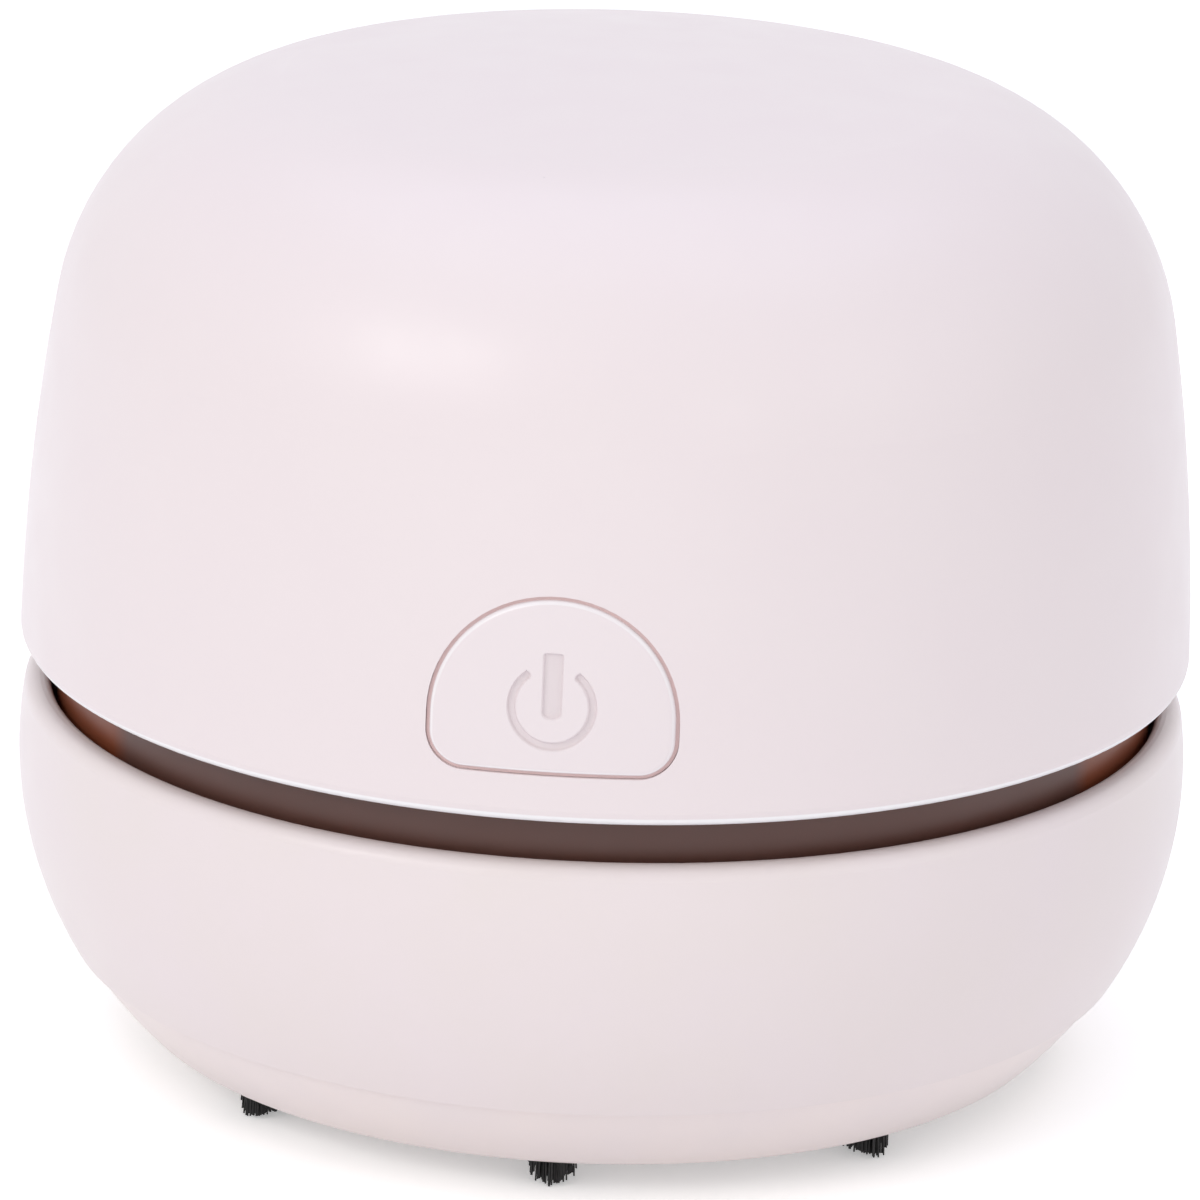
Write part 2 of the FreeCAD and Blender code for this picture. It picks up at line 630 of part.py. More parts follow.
def common(name, items):
    item = doc.addObject("Part::MultiCommon", name)
    item.Shapes = items
    return item


def subtract(name, base, tools):
    """Cut tools from base and make sure that they reach it."""
    item = doc.addObject("Part::Cut", name)
    item.Base = base
    item.Tool = tools[0] if len(tools) == 1 else join(name + "_tools", tools)
    doc.recompute()
    if item.Shape.Volume >= base.Shape.Volume:
        raise RuntimeError(f"{name} cuts nothing")
    return item


def screw(name, x, y, head_z, length, up=True):
    """A screw whose head's bearing face is at head_z, and whose thread runs up or down from it."""
    head = f"({head_z}) - screw_head_height" if up else head_z
    thread = head_z if up else f"({head_z}) - ({length})"
    recess = f"({head}) - {OVER}" if up else f"({head}) + screw_head_height - recess_depth"
    return subtract(name, join(name + "_blank", [
        cylinder(name + "_head", "screw_head", "screw_head_height", x, y, head),
        cylinder(name + "_thread", "screw_radius", length, x, y, thread),
    ]), [cylinder(name + "_recess", "recess_radius", f"recess_depth + {OVER}", x, y, recess)])


def dome_solid(name, inset, foot):
    """The space under the upper shell's surface moved inwards by inset, down to a height."""
    body = new_body(name)
    sketch = new_sketch(body, name + "_outline", "XZ_Plane")
    crown, shoulder, wall = [value(f"{curve} - ({inset})") for curve in
                             ("crown_curve", "shoulder_curve", "wall_curve")]
    crown_centre = Vector(0, value("top_z - crown_curve"), 0)
    wall_centre = Vector(value("wall_centre"), value("widest_z"), 0)
    foot_z = value(foot)
    between = wall_centre - crown_centre
    along = (between.Length ** 2 + (crown - shoulder) ** 2 - (wall - shoulder) ** 2) / (2 * between.Length)
    across = math.sqrt((crown - shoulder) ** 2 - along ** 2)
    forward = Vector(between).normalize()
    shoulder_centre = crown_centre + forward * along + Vector(-forward.y, forward.x, 0) * -across
    mirrored = crown_centre + forward * along + Vector(-forward.y, forward.x, 0) * across
    if mirrored.x > shoulder_centre.x:
        shoulder_centre = mirrored
    high = shoulder_centre + (shoulder_centre - crown_centre).normalize() * shoulder
    low = shoulder_centre + (shoulder_centre - wall_centre).normalize() * shoulder
    reach = math.sqrt(wall ** 2 - (foot_z - wall_centre.y) ** 2)
    foot_point = Vector(wall_centre.x + reach, foot_z, 0)
    top = Vector(0, crown_centre.y + crown, 0)
    below = Vector(0, foot_z, 0)
    crown_arc = sketch.addGeometry(arc_between(high, top, crown, True), False)
    shoulder_arc = sketch.addGeometry(arc_between(low, high, shoulder, True), False)
    wall_arc = sketch.addGeometry(arc_between(foot_point, low, wall, True), False)
    base = sketch.addGeometry(Part.LineSegment(below, foot_point), False)
    axis = sketch.addGeometry(Part.LineSegment(top, below), False)
    constrain(sketch, "Tangent", crown_arc, 1, shoulder_arc, 2)
    constrain(sketch, "Tangent", shoulder_arc, 1, wall_arc, 2)
    constrain(sketch, "Coincident", base, 2, wall_arc, 1)
    constrain(sketch, "Coincident", axis, 2, base, 1)
    constrain(sketch, "Coincident", crown_arc, 2, axis, 1)
    constrain(sketch, "Radius", crown_arc, to=f"crown_curve - ({inset})")
    constrain(sketch, "Radius", shoulder_arc, to=f"shoulder_curve - ({inset})")
    constrain(sketch, "Radius", wall_arc, to=f"wall_curve - ({inset})")
    constrain(sketch, "DistanceX", -1, 1, crown_arc, 3, to="0")
    constrain(sketch, "DistanceY", -1, 1, crown_arc, 3, to="top_z - crown_curve")
    constrain(sketch, "DistanceX", -1, 1, wall_arc, 3, to="wall_centre")
    constrain(sketch, "DistanceY", -1, 1, wall_arc, 3, to="widest_z")
    constrain(sketch, "DistanceX", -1, 1, axis, 1, to="0")
    constrain(sketch, "DistanceX", -1, 1, axis, 2, to="0")
    constrain(sketch, "DistanceY", -1, 1, axis, 2, to=foot)
    constrain(sketch, "Horizontal", base)
    feature = body.newObject("PartDesign::Revolution", name + "_turned")
    feature.Profile = sketch
    feature.ReferenceAxis = (sketch, ["V_Axis"])
    feature.Angle = 360.0
    settle(body, feature, True)
    return body


def button_outline(grow, low_grow):
    """The button's shape: a straight lower edge with rounded corners under a round arch."""
    half = f"(button_width / 2 + ({grow}))"
    low = f"(button_low_z - ({low_grow}))"
    arch_z = f"(button_low_z + button_height + ({grow}) - {half})"
    corner = "button_corner"
    return [
        (f"{half} - {corner}", low),
        (half, f"{low} + {corner}", "ccw", corner),
        (half, arch_z),
        ("0", f"{arch_z} + {half}", "ccw", half),
        (f"0 - {half}", arch_z, "ccw", half),
        (f"0 - {half}", f"{low} + {corner}"),
        (f"{corner} - {half}", low, "ccw", corner),
    ]


def shell_posts():
    """X and Y texts of the upper shell's four screw posts."""
    return [(x, y) for x in ("post_x", "0 - post_x") for y in ("post_y", "0 - post_y")]


def button_prism(name, grow, low_grow="0"):
    """A prism of the button's shape, from the button's back outwards past the shell."""
    body = new_body(name)
    pad(body, "prism", "button_back", f"button_depth + {OVER}",
        outline=button_outline(grow, low_grow), plane="XZ_Plane")
    return body


def pipe(name, edges, radius):
    """A round bar of a radius along edges that run smoothly into each other."""
    start = edges[0].valueAt(edges[0].FirstParameter)
    heading = edges[0].tangentAt(edges[0].FirstParameter)
    section = Part.Wire([Part.makeCircle(radius, start, heading)])
    item = doc.addObject("Part::Feature", name)
    item.Shape = Part.Wire(edges).makePipeShell([section], True, False)
    return item


def wire(name, points):
    """A wire of straight runs with round bends along points, each three texts."""
    corners = [Vector(*[value(text) for text in point]) for point in points]
    bend = value("wire_bend")
    edges = []
    here = corners[0]
    for before, corner, after in zip(corners, corners[1:], corners[2:]):
        back = (before - corner).normalize()
        ahead = (after - corner).normalize()
        half_turn = (math.pi - back.getAngle(ahead)) / 2
        tangent = bend * math.tan(half_turn)
        start = corner + back * tangent
        end = corner + ahead * tangent
        inwards = (back + ahead).normalize()
        middle = corner + inwards * (bend / math.cos(half_turn) - bend)
        edges.append(Part.makeLine(here, start))
        edges.append(Part.Arc(start, middle, end).toShape())
        here = end
    edges.append(Part.makeLine(here, corners[-1]))
    return pipe(name, edges, value("wire_radius"))


NODES = {}


def node(name, item):
    """Name a finished sub-part."""
    item.Label = name
    NODES[name] = item
    return item


# ---------------------------------------------------------------- upper shell

def make_upper_shell():
    outside = dome_solid("dome_outside", "0", "skirt_z")
    round_edges(outside, "skirt_edge", "skirt_round", [
        ("wall_centre + sqrt(wall_curve^2 - (skirt_z - widest_z)^2)", "skirt_z")])
    inside = dome_solid("dome_inside", "dome_wall", f"skirt_z - {OVER}")
    posts = shell_posts()
    cut(inside, "posts", "top_z", "top_z - deck_top_z",
        circles=[(x, y, "post_radius") for x, y in posts])
    hollow = subtract("dome_hollow", outside, [inside])
    pilots = [cylinder(f"post_pilot_{index}", "pilot", f"post_pilot_depth + {OVER}", x, y,
                       f"deck_top_z - {OVER}")
              for index, (x, y) in enumerate(posts)]
    port = new_body("port_tool")
    pad(port, "prism", f"0 - body_radius - {OVER}", f"body_radius + 2 * {OVER} - port_y",
        outline=usb_outline("0 - port_play"), plane="XZ_Plane")
    light_hole = cylinder("light_hole", "light_radius + light_play", f"body_radius + {OVER} - light_y",
                          "light_x", "light_y", "light_z", ALONG_Y)
    button_hole = button_prism("button_hole", "0")
    node("upper_shell", subtract("upper_shell", hollow, pilots + [port, light_hole, button_hole]))


# ---------------------------------------------------------------- dust unit

def make_lower_shell():
    body = new_body("lower_shell")
    revolve(body, [
        ("tube_hole", "seam_z"),
        (bowl_x("seam_z"), "seam_z"),
        (bowl_x("lip_z"), "lip_z", "ccw", "bowl_curve"),
        (bowl_x("lip_z", "bowl_wall"), "lip_z"),
        (bowl_x("shell_floor_z", "bowl_wall"), "shell_floor_z", "cw", "bowl_curve - bowl_wall"),
        ("tube_hole", "shell_floor_z"),
    ])
    round_edges(body, "lip", "lip_round", [(bowl_x("lip_z"), "lip_z")])
    round_edges(body, "lip_inside", "lip_inner_round", [(bowl_x("lip_z", "bowl_wall"), "lip_z")])
    spots = ring_points(PLATE_SCREW_COUNT, "plate_screw_circle", FIRST_PLATE_SCREW)
    pad(body, "bosses", "plate_top_z", "seam_z + plate_boss_root - plate_top_z",
        circles=[(x, y, "plate_boss") for x, y in spots])
    cut(body, "pilots", "plate_pilot_top_z", "plate_pilot_top_z - plate_top_z",
        circles=[(x, y, "pilot") for x, y in spots])
    node("lower_shell", body)


def make_base_plate():
    body = new_body("base_plate")
    inner_top = bowl_x("seam_z", "seam_step") + " - plate_wall"
    inner_low = bowl_x("plate_top_z", "seam_step") + " - plate_wall"
    revolve(body, [
        ("mouth_radius", "base_z"),
        (bowl_x("base_z", "seam_step"), "base_z"),
        (bowl_x("seam_z", "seam_step"), "seam_z", "ccw", "bowl_curve - seam_step"),
        (inner_top, "seam_z"),
        (inner_low, "plate_top_z"),
        ("mouth_radius", "plate_top_z"),
    ])
    round_edges(body, "lower_edge", "plate_round", [(bowl_x("base_z", "seam_step"), "base_z")])
    sockets = ring_points(TUFT_COUNT, "tuft_circle", FIRST_TUFT)
    pad(body, "sockets", "plate_top_z", "tuft_depth + socket_wall - plate_thick",
        circles=[(x, y, "tuft_radius + socket_wall") for x, y in sockets])
    cut(body, "tuft_holes", "base_z + tuft_depth", "tuft_depth",
        circles=[(x, y, "tuft_radius") for x, y in sockets])
    spots = ring_points(PLATE_SCREW_COUNT, "plate_screw_circle", FIRST_PLATE_SCREW)
    cut(body, "screw_holes", "plate_top_z", "plate_thick", circles=[(x, y, "screw_hole") for x, y in spots])
    cut(body, "head_recesses", "plate_head_z", "plate_head_z - base_z",
        circles=[(x, y, "screw_head + screw_play") for x, y in spots])
    node("base_plate", body)
    node("base_screws", gather("base_screws", [
        screw(f"base_screw_{index}", x, y, "plate_head_z",
              "plate_pilot_top_z - screw_tip_gap - plate_head_z")
        for index, (x, y) in enumerate(spots)]))


def make_brush_tufts():
    for index, (x, y) in enumerate(ring_points(TUFT_COUNT, "tuft_circle", FIRST_TUFT), start=1):
        node(f"brush_tuft_{index}", cylinder(f"tuft_{index}", "tuft_radius", "tuft_drop + tuft_depth", x, y))


def make_inlet_tube():
    body = new_body("inlet_tube")
    revolve(body, [
        ("mouth_radius", "plate_top_z"),
        ("mouth_radius + tube_flange", "plate_top_z"),
        ("mouth_radius + tube_flange", "plate_top_z + tube_flange_thick"),
        ("tube_outer", "seam_z - funnel_outside_gap"),
        ("tube_outer", "base_z + tube_height"),
        ("tube_bore", "base_z + tube_height"),
        ("tube_bore", "seam_z - funnel_inside_gap"),
    ])
    node("inlet_tube", body)


def make_dust_cup():
    body = new_body("dust_cup")
    foot_x = bowl_x("shell_floor_z", "bowl_wall + cup_gap + cup_wall")
    revolve(body, [
        (foot_x, "shell_floor_z", "cw", "cup_curve - cup_wall"),
        (bowl_x("shell_floor_z", "bowl_wall + cup_gap"), "shell_floor_z"),
        ("cup_outer", "knee_z", "ccw", "cup_curve"),
        ("cup_outer", "rim_z"),
        ("cup_inner", "rim_z"),
        ("cup_inner", "knee_z"),
    ])
    lug = pad(body, "lug", "lug_low_z", "lug_height",
              outline=sector("lug_tip", "cup_inner + cup_wall / 2", "0 - lug_half", "lug_half"))
    repeat(body, [lug], LUG_COUNT, True)
    node("dust_cup", body)


# ---------------------------------------------------------------- chassis, seal and filter

def make_chassis():
    body = new_body("chassis")
    revolve(body, [
        ("eye_radius", "deck_z"),
        ("collar_inner", "deck_z"),
        ("collar_inner", "collar_z"),
        ("collar_outer", "collar_z"),
        ("collar_outer", "deck_z"),
        ("cup_outer", "deck_z"),
        ("cup_outer", "deck_top_z"),
        ("volute_outer", "deck_top_z"),
        ("volute_outer", "volute_top_z"),
        ("volute_inner", "volute_top_z"),
        ("volute_inner", "deck_top_z"),
        ("eye_radius", "deck_top_z"),
    ])
    bosses = ring_points(MOUNT_SCREW_COUNT, "mount_screw_circle")
    pad(body, "mount_bosses", "deck_top_z", "volute_height",
        circles=[(x, y, "mount_boss") for x, y in bosses])
    channel = cut(body, "channel", "channel_top_z", "channel_top_z - channel_low_z",
                  outline=sector("channel_floor", f"collar_outer + {OVER}", "channel_start", "channel_end"))
    repeat(body, [channel], LUG_COUNT, False)
    gate = cut(body, "gate", "channel_low_z", "channel_low_z - collar_z",
               outline=sector("channel_floor", f"collar_outer + {OVER}", "gate_start", "channel_end"))
    repeat(body, [gate], LUG_COUNT, False)
    window = cut(body, "window", f"volute_outer + {OVER}", "volute_outer - fan_radius", plane="XZ_Plane",
                 outline=box_outline("0 - window_width / 2", "window_width / 2",
                                     "deck_top_z + window_edge", "volute_top_z - window_edge"))
    repeat(body, [window], WINDOW_COUNT, False)
    cut(body, "mount_pilots", "volute_top_z", "mount_pilot_depth",
        circles=[(x, y, "pilot") for x, y in bosses])
    posts = shell_posts()
    cut(body, "screw_holes", "deck_top_z", "deck_thick",
        circles=[(x, y, "screw_hole") for x, y in posts + [("0", "0 - bracket_screw_y")]])
    node("chassis", body)
    node("chassis_screws", gather("chassis_screws", [
        screw(f"chassis_screw_{index}", x, y, "deck_z", "deck_thick + post_pilot_depth - screw_tip_gap")
        for index, (x, y) in enumerate(posts)]))
    seal = new_body("seal_ring")
    pad(seal, "ring", "deck_z - seal_thick", "seal_thick", circles=[("0", "0", "cup_outer")])
    cut(seal, "bore", "deck_z", "seal_thick", circles=[("0", "0", "collar_outer")])
    node("seal_ring", seal)


def make_filter():
    body = new_body("filter_frame")
    revolve(body, [
        ("0", "frame_z"),
        ("frame_outer", "frame_z"),
        ("frame_outer", "deck_z"),
        ("frame_inner", "deck_z"),
        ("frame_inner", "disc_z"),
        ("0", "disc_z"),
    ])
    inner = cut(body, "inner_window", "disc_z", "filter_grid",
                outline=sector("filter_hub", "(frame_inner - filter_rib) / 2", "filter_inner_rib",
                               f"360 / {INNER_FILTER_WINDOWS} - filter_inner_rib"))
    repeat(body, [inner], INNER_FILTER_WINDOWS, False)
    outer = cut(body, "outer_window", "disc_z", "filter_grid",
                outline=sector("(frame_inner + filter_rib) / 2", "frame_inner - filter_rib",
                               "filter_outer_rib", f"360 / {OUTER_FILTER_WINDOWS} - filter_outer_rib"))
    repeat(body, [outer], OUTER_FILTER_WINDOWS, False)
    node("filter_frame", body)
    node("filter_disc", cylinder("filter_disc", "frame_inner", "filter_disc_thick", z="disc_z"))


# ---------------------------------------------------------------- fan and motor

def make_fan():
    guard = new_body("fan_guard")
    pad(guard, "disc", "deck_top_z", "guard_thick", circles=[("0", "0", "guard_radius")])
    inner = cut(guard, "inner_window", "deck_top_z + guard_thick", "guard_thick",
                outline=sector("guard_hub", "guard_ring - guard_rib / 2", "guard_inner_rib",
                               f"360 / {GUARD_WINDOWS} - guard_inner_rib"))
    repeat(guard, [inner], GUARD_WINDOWS, False)
    outer = cut(guard, "outer_window", "deck_top_z + guard_thick", "guard_thick",
                outline=sector("guard_ring + guard_rib / 2", "eye_radius", "guard_outer_rib",
                               f"360 / {GUARD_WINDOWS} - guard_outer_rib"))
    repeat(guard, [outer], GUARD_WINDOWS, False)
    node("fan_guard", guard)

    fan = new_body("impeller")
    revolve(fan, [
        ("shaft_radius", "fan_z"),
        ("hub_radius", "fan_z"),
        ("hub_radius", "fan_top_z - fan_plate"),
        ("fan_radius", "fan_top_z - fan_plate"),
        ("fan_radius", "fan_top_z"),
        ("shaft_radius", "fan_top_z"),
    ])
    tip = "sqrt((fan_radius - blade_tip_gap)^2 - blade_sweep^2)"
    blade = pad(fan, "blade", "fan_z", "fan_height - fan_plate / 2", outline=[
        ("hub_radius - blade_root", "0 - blade_thick / 2"),
        (tip, "0 - blade_sweep", "cw", "blade_curve"),
        (tip, "blade_thick - blade_sweep"),
        ("hub_radius - blade_root", "blade_thick / 2", "ccw", "blade_curve"),
    ])
    repeat(fan, [blade], BLADE_COUNT, True)
    node("impeller", fan)
    node("motor_shaft", cylinder("motor_shaft", "shaft_radius", "shaft_top_z - fan_z", z="fan_z"))


def make_motor():
    can = new_body("motor_can")
    pad(can, "can", "mount_top_z", "motor_height", circles=[("0", "0", "motor_radius")])
    pad(can, "nose", "mount_top_z - motor_nose_height", "motor_nose_height",
        circles=[("0", "0", "motor_nose")])
    bearing_top = "shaft_top_z + bearing_gap"
    cut(can, "bearing", bearing_top, f"{bearing_top} - mount_top_z + motor_nose_height",
        circles=[("0", "0", "shaft_radius + shaft_play")])
    round_edges(can, "can_edge", "motor_round", [("motor_radius", "can_top_z")])
    node("motor_can", can)
    cap = new_body("motor_end_cap")
    pad(cap, "cap", "can_top_z", "end_cap_height", circles=[("0", "0", "end_cap_radius")])
    pad(cap, "bearing_seat", "cap_top_z", "end_bearing_height", circles=[("0", "0", "motor_nose")])
    round_edges(cap, "cap_edge", "end_cap_round", [("end_cap_radius", "cap_top_z")])
    node("motor_end_cap", cap)
    node("motor_terminals", gather("motor_terminals", [
        block(f"terminal_{index}", f"{x} - terminal_thick / 2", f"{x} + terminal_thick / 2",
              "0 - terminal_width / 2", "terminal_width / 2", "cap_top_z", "cap_top_z + terminal_height")
        for index, x in enumerate(("terminal_offset", "0 - terminal_offset"))]))
    sleeve = new_body("motor_sleeve")
    pad(sleeve, "ring", "mount_top_z", "sleeve_height", circles=[("0", "0", "cradle_inner")])
    cut(sleeve, "bore", "mount_top_z + sleeve_height", "sleeve_height", circles=[("0", "0", "motor_radius")])
    node("motor_sleeve", sleeve)


def make_motor_mount():
    ears = ring_points(MOUNT_SCREW_COUNT, "mount_screw_circle")
    posts = [("clamp_post_x", "0"), ("0 - clamp_post_x", "0")]
    body = new_body("motor_mount")
    pad(body, "plate", "volute_top_z", "mount_thick", circles=[("0", "0", "volute_outer")])
    pad(body, "ears", "volute_top_z", "mount_thick",
        circles=[(x, y, "mount_boss + mount_ear") for x, y in ears])
    pad(body, "cradle", "mount_top_z", "cradle_height", circles=[("0", "0", "cradle_outer")])
    pad(body, "posts", "mount_top_z", "motor_height",
        circles=[(x, y, "clamp_post_radius") for x, y in posts])
    cut(body, "cradle_bore", "can_top_z", "motor_height", circles=[("0", "0", "cradle_inner")])
    cut(body, "nose_hole", "mount_top_z", "mount_thick", circles=[("0", "0", "motor_nose + nose_play")])
    cut(body, "ear_holes", "mount_top_z", "mount_thick", circles=[(x, y, "screw_hole") for x, y in ears])
    cut(body, "clamp_pilots", "can_top_z", "clamp_pilot_depth",
        circles=[(x, y, "pilot") for x, y in posts])
    node("motor_mount", body)
    node("mount_screws", gather("mount_screws", [
        screw(f"mount_screw_{index}", x, y, "mount_top_z",
              "mount_thick + mount_pilot_depth - screw_tip_gap", up=False)
        for index, (x, y) in enumerate(ears)]))

    clamp = new_body("motor_clamp")
    pad(clamp, "ring", "can_top_z", "clamp_thick", circles=[("0", "0", "cradle_inner")])
    pad(clamp, "ears", "can_top_z", "clamp_thick", outline=box_outline(
        "0 - clamp_post_x", "clamp_post_x", "0 - clamp_post_radius", "clamp_post_radius"))
    pad(clamp, "ear_ends", "can_top_z", "clamp_thick",
        circles=[(x, y, "clamp_post_radius") for x, y in posts])
    cut(clamp, "bore", "can_top_z + clamp_thick", "clamp_thick", circles=[("0", "0", "clamp_inner")])
    cut(clamp, "holes", "can_top_z + clamp_thick", "clamp_thick",
        circles=[(x, y, "screw_hole") for x, y in posts])
    node("motor_clamp", clamp)
    node("clamp_screws", gather("clamp_screws", [
        screw(f"clamp_screw_{index}", x, y, "can_top_z + clamp_thick",
              "clamp_thick + clamp_pilot_depth - screw_tip_gap", up=False)
        for index, (x, y) in enumerate(posts)]))


# ---------------------------------------------------------------- battery and charging board

def make_battery():
    node("battery_cell", join("battery_cell", [
        cylinder("cell_can", "cell_radius", "cell_length", "cell_x", "0 - contact_y", "cell_z", ALONG_Y),
        cylinder("cell_tip", "cell_button_radius", "cell_button", "cell_x", "contact_y - cell_button",
                 "cell_z", ALONG_Y),
    ]))
    saddle = block("saddle", "cell_x - holder_half", "cell_x + holder_half", "saddle_gap - contact_y",
                   "contact_y - cell_button - saddle_gap", "deck_top_z", "cell_z - saddle_drop")
    ends = [block(f"holder_end_{index}", "cell_x - holder_end_half", "cell_x + holder_end_half", low, high,
                  "deck_top_z", "holder_end_z")
            for index, (low, high) in enumerate((("holder_y", "holder_y + holder_end"),
                                                 ("0 - holder_y - holder_end", "0 - holder_y")))]
    floor = block("holder_floor", "cell_x - holder_end_half", "cell_x + holder_end_half",
                  "0 - holder_y - holder_end", "holder_y + holder_end", "deck_top_z",
                  "holder_floor_z")
    trough = cylinder("trough", "cell_radius + cradle_play", "2 * contact_y", "cell_x", "0 - contact_y",
                      "cell_z", ALONG_Y)
    node("battery_holder", subtract("battery_holder", join("holder_blank", [saddle, floor] + ends), [trough]))
    node("battery_contacts", gather("battery_contacts", [
        block(f"contact_{index}", "cell_x - holder_end_half", "cell_x + holder_end_half", low, high,
              "holder_floor_z", "holder_end_z")
        for index, (low, high) in enumerate((("contact_y", "holder_y"), ("0 - holder_y", "0 - contact_y")))]))


def make_charging():
    rails = [block(f"rail_{index}", low, high, "board_near", "board_far", "deck_top_z", "board_z")
             for index, (low, high) in enumerate((("board_half - rail_width", "board_half"),
                                                  ("0 - board_half", "rail_width - board_half")))]
    bridge = block("rail_bridge", "0 - board_half", "board_half", "board_near", "board_near + rail_width",
                   "deck_top_z", "board_z - bridge_gap")
    spots = [("board_half - rail_width / 2", "board_near + board_screw_inset"),
             ("rail_width / 2 - board_half", "board_near + board_screw_inset")]
    pilots = [cylinder(f"rail_pilot_{index}", "pilot", f"board_pilot_depth + {OVER}", x, y,
                       "board_z - board_pilot_depth")
              for index, (x, y) in enumerate(spots)]
    node("board_stand", subtract("board_stand", join("stand_blank", rails + [bridge]), pilots))
    holes = [cylinder(f"board_hole_{index}", "screw_hole", f"board_thick + 2 * {OVER}", x, y,
                      f"board_z - {OVER}")
             for index, (x, y) in enumerate(spots)]
    board = block("board", "0 - board_half", "board_half", "board_near", "board_far", "board_z",
                  "board_top_z")
    node("charging_board", subtract("charging_board", board, holes))
    node("board_screws", gather("board_screws", [
        screw(f"board_screw_{index}", x, y, "board_top_z",
              "board_thick + board_pilot_depth - screw_tip_gap", up=False)
        for index, (x, y) in enumerate(spots)]))

    socket = new_body("usb_socket")
    pad(socket, "case", "0 - usb_mouth_y", "usb_length", outline=usb_outline("0"), plane="XZ_Plane")
    cut(socket, "mouth", "usb_length - usb_wall * 2 - usb_mouth_y", "usb_length",
        outline=usb_outline("usb_wall"), plane="XZ_Plane")
    node("usb_socket", socket)
    node("usb_tongue", block("usb_tongue", "0 - usb_tongue_half", "usb_tongue_half",
                             "usb_mouth_y - usb_length + 2 * usb_wall",
                             "usb_mouth_y - usb_tongue_inset",
                             "usb_z - usb_tongue_thick / 2", "usb_z + usb_tongue_thick / 2"))
    lamp = block("light_source", "light_x - light_source_width / 2", "light_x + light_source_width / 2",
                 "light_y - light_source_length", "light_y", "board_top_z",
                 "board_top_z + light_source_height")
    node("board_chips", gather("board_chips", [lamp] + [
        block(chip, f"{chip}_middle - {chip}_width / 2", f"{chip}_middle + {chip}_width / 2",
              f"board_near + {chip}_near", f"board_near + {chip}_near + {chip}_length",
              "board_top_z", f"board_top_z + {chip}_height") for chip, *_ in CHIPS]))
    pipe = cylinder("pipe_blank", "light_radius", f"body_radius + {OVER} - light_y", "light_x", "light_y",
                    "light_z", ALONG_Y)
    node("status_light", common("status_light", [pipe, dome_solid("pipe_limit", "light_sink", "skirt_z")]))


def usb_outline(inset):
    """A flat shape with round ends, around the charging socket's centre."""
    radius = f"(usb_height / 2 - ({inset}))"
    middle = "(usb_half - usb_height / 2)"
    return [
        (middle, f"usb_z - {radius}"),
        (f"{middle} + {radius}", "usb_z", "ccw", radius),
        (middle, f"usb_z + {radius}", "ccw", radius),
        (f"0 - {middle}", f"usb_z + {radius}"),
        (f"0 - {middle} - {radius}", "usb_z", "ccw", radius),
        (f"0 - {middle}", f"usb_z - {radius}", "ccw", radius),
    ]


# ---------------------------------------------------------------- power button and switch

def power_symbol():
    """Prisms of the power symbol, a ring open at the top with a bar."""
    centre_z = "button_low_z + symbol_rise"
    reach = f"button_depth + {OVER}"
    ring = new_body("symbol_ring")
    pad(ring, "disc", "button_back", reach, circles=[("0", centre_z, "symbol_radius")], plane="XZ_Plane")
    cut(ring, "bore", f"body_radius + {OVER}", reach, plane="XZ_Plane",
        circles=[("0", centre_z, "symbol_radius - symbol_line")])
    cut(ring, "opening", f"body_radius + {OVER}", reach, plane="XZ_Plane", outline=box_outline(
        "0 - symbol_opening / 2", "symbol_opening / 2", centre_z, f"{centre_z} + symbol_radius + {OVER}"))
    bar = block("symbol_bar_prism", "0 - symbol_bar / 2", "symbol_bar / 2", f"0 - body_radius - {OVER}",
                "0 - button_back", f"{centre_z} - symbol_bar_low", f"{centre_z} + symbol_bar_high")
    return join("symbol_prisms", [ring, bar])


def make_button():
    cap = common("button_cap", [button_prism("cap_prism", "0 - button_gap", "0 - button_gap"),
                                dome_solid("cap_limit", "0 - button_proud", "skirt_z")])
    flange = common("button_flange", [button_prism("flange_prism", "flange_lip", "0 - button_gap"),
                                      dome_solid("flange_limit", "dome_wall + flange_gap", "skirt_z")])
    stem = cylinder("button_stem", "stem_radius", "stem_length + spring_pocket_depth", "0",
                    "0 - button_back - spring_pocket_depth", "button_axis_z", ALONG_Y)
    pocket = subtract("spring_pocket_ring", cylinder(
        "spring_pocket_disc", "spring_pocket", "spring_pocket_depth", "0",
        "0 - button_back - spring_pocket_depth", "button_axis_z", ALONG_Y), [cylinder(
            "spring_pocket_core", "stem_radius", f"spring_pocket_depth + 2 * {OVER}", "0",
            f"0 - button_back - spring_pocket_depth - {OVER}", "button_axis_z", ALONG_Y)])
    recess = subtract("symbol_recess", power_symbol(),
                      [dome_solid("symbol_floor", "symbol_depth - button_proud", "skirt_z")])
    node("power_button", subtract("power_button", join("button_blank", [cap, flange, stem]),
                                  [pocket, recess]))


def make_button_spring():
    """A coil of tilted half turns between the button's pocket and the guide."""
    radius = value("spring_radius")
    front = value("button_back + spring_pocket_depth - spring_wire - spring_end_gap")
    back = value("guide_front + spring_wire + spring_end_gap")
    half_turns = round(2 * value("spring_turns"))
    rise = (front - back) / half_turns
    bulge = math.hypot(radius, rise / 2)
    edges = []
    for index in range(half_turns):
        side = 1 if index % 2 == 0 else -1
        edges.append(Part.Arc(Vector(side * radius, 0, index * rise),
                              Vector(0, side * bulge, (index + 0.5) * rise),
                              Vector(-side * radius, 0, (index + 1) * rise)).toShape())
    item = pipe("button_spring", edges, value("spring_wire"))
    item.Placement = Placement(Vector(0, -front, value("button_axis_z")), ALONG_Y)
    node("button_spring", item)


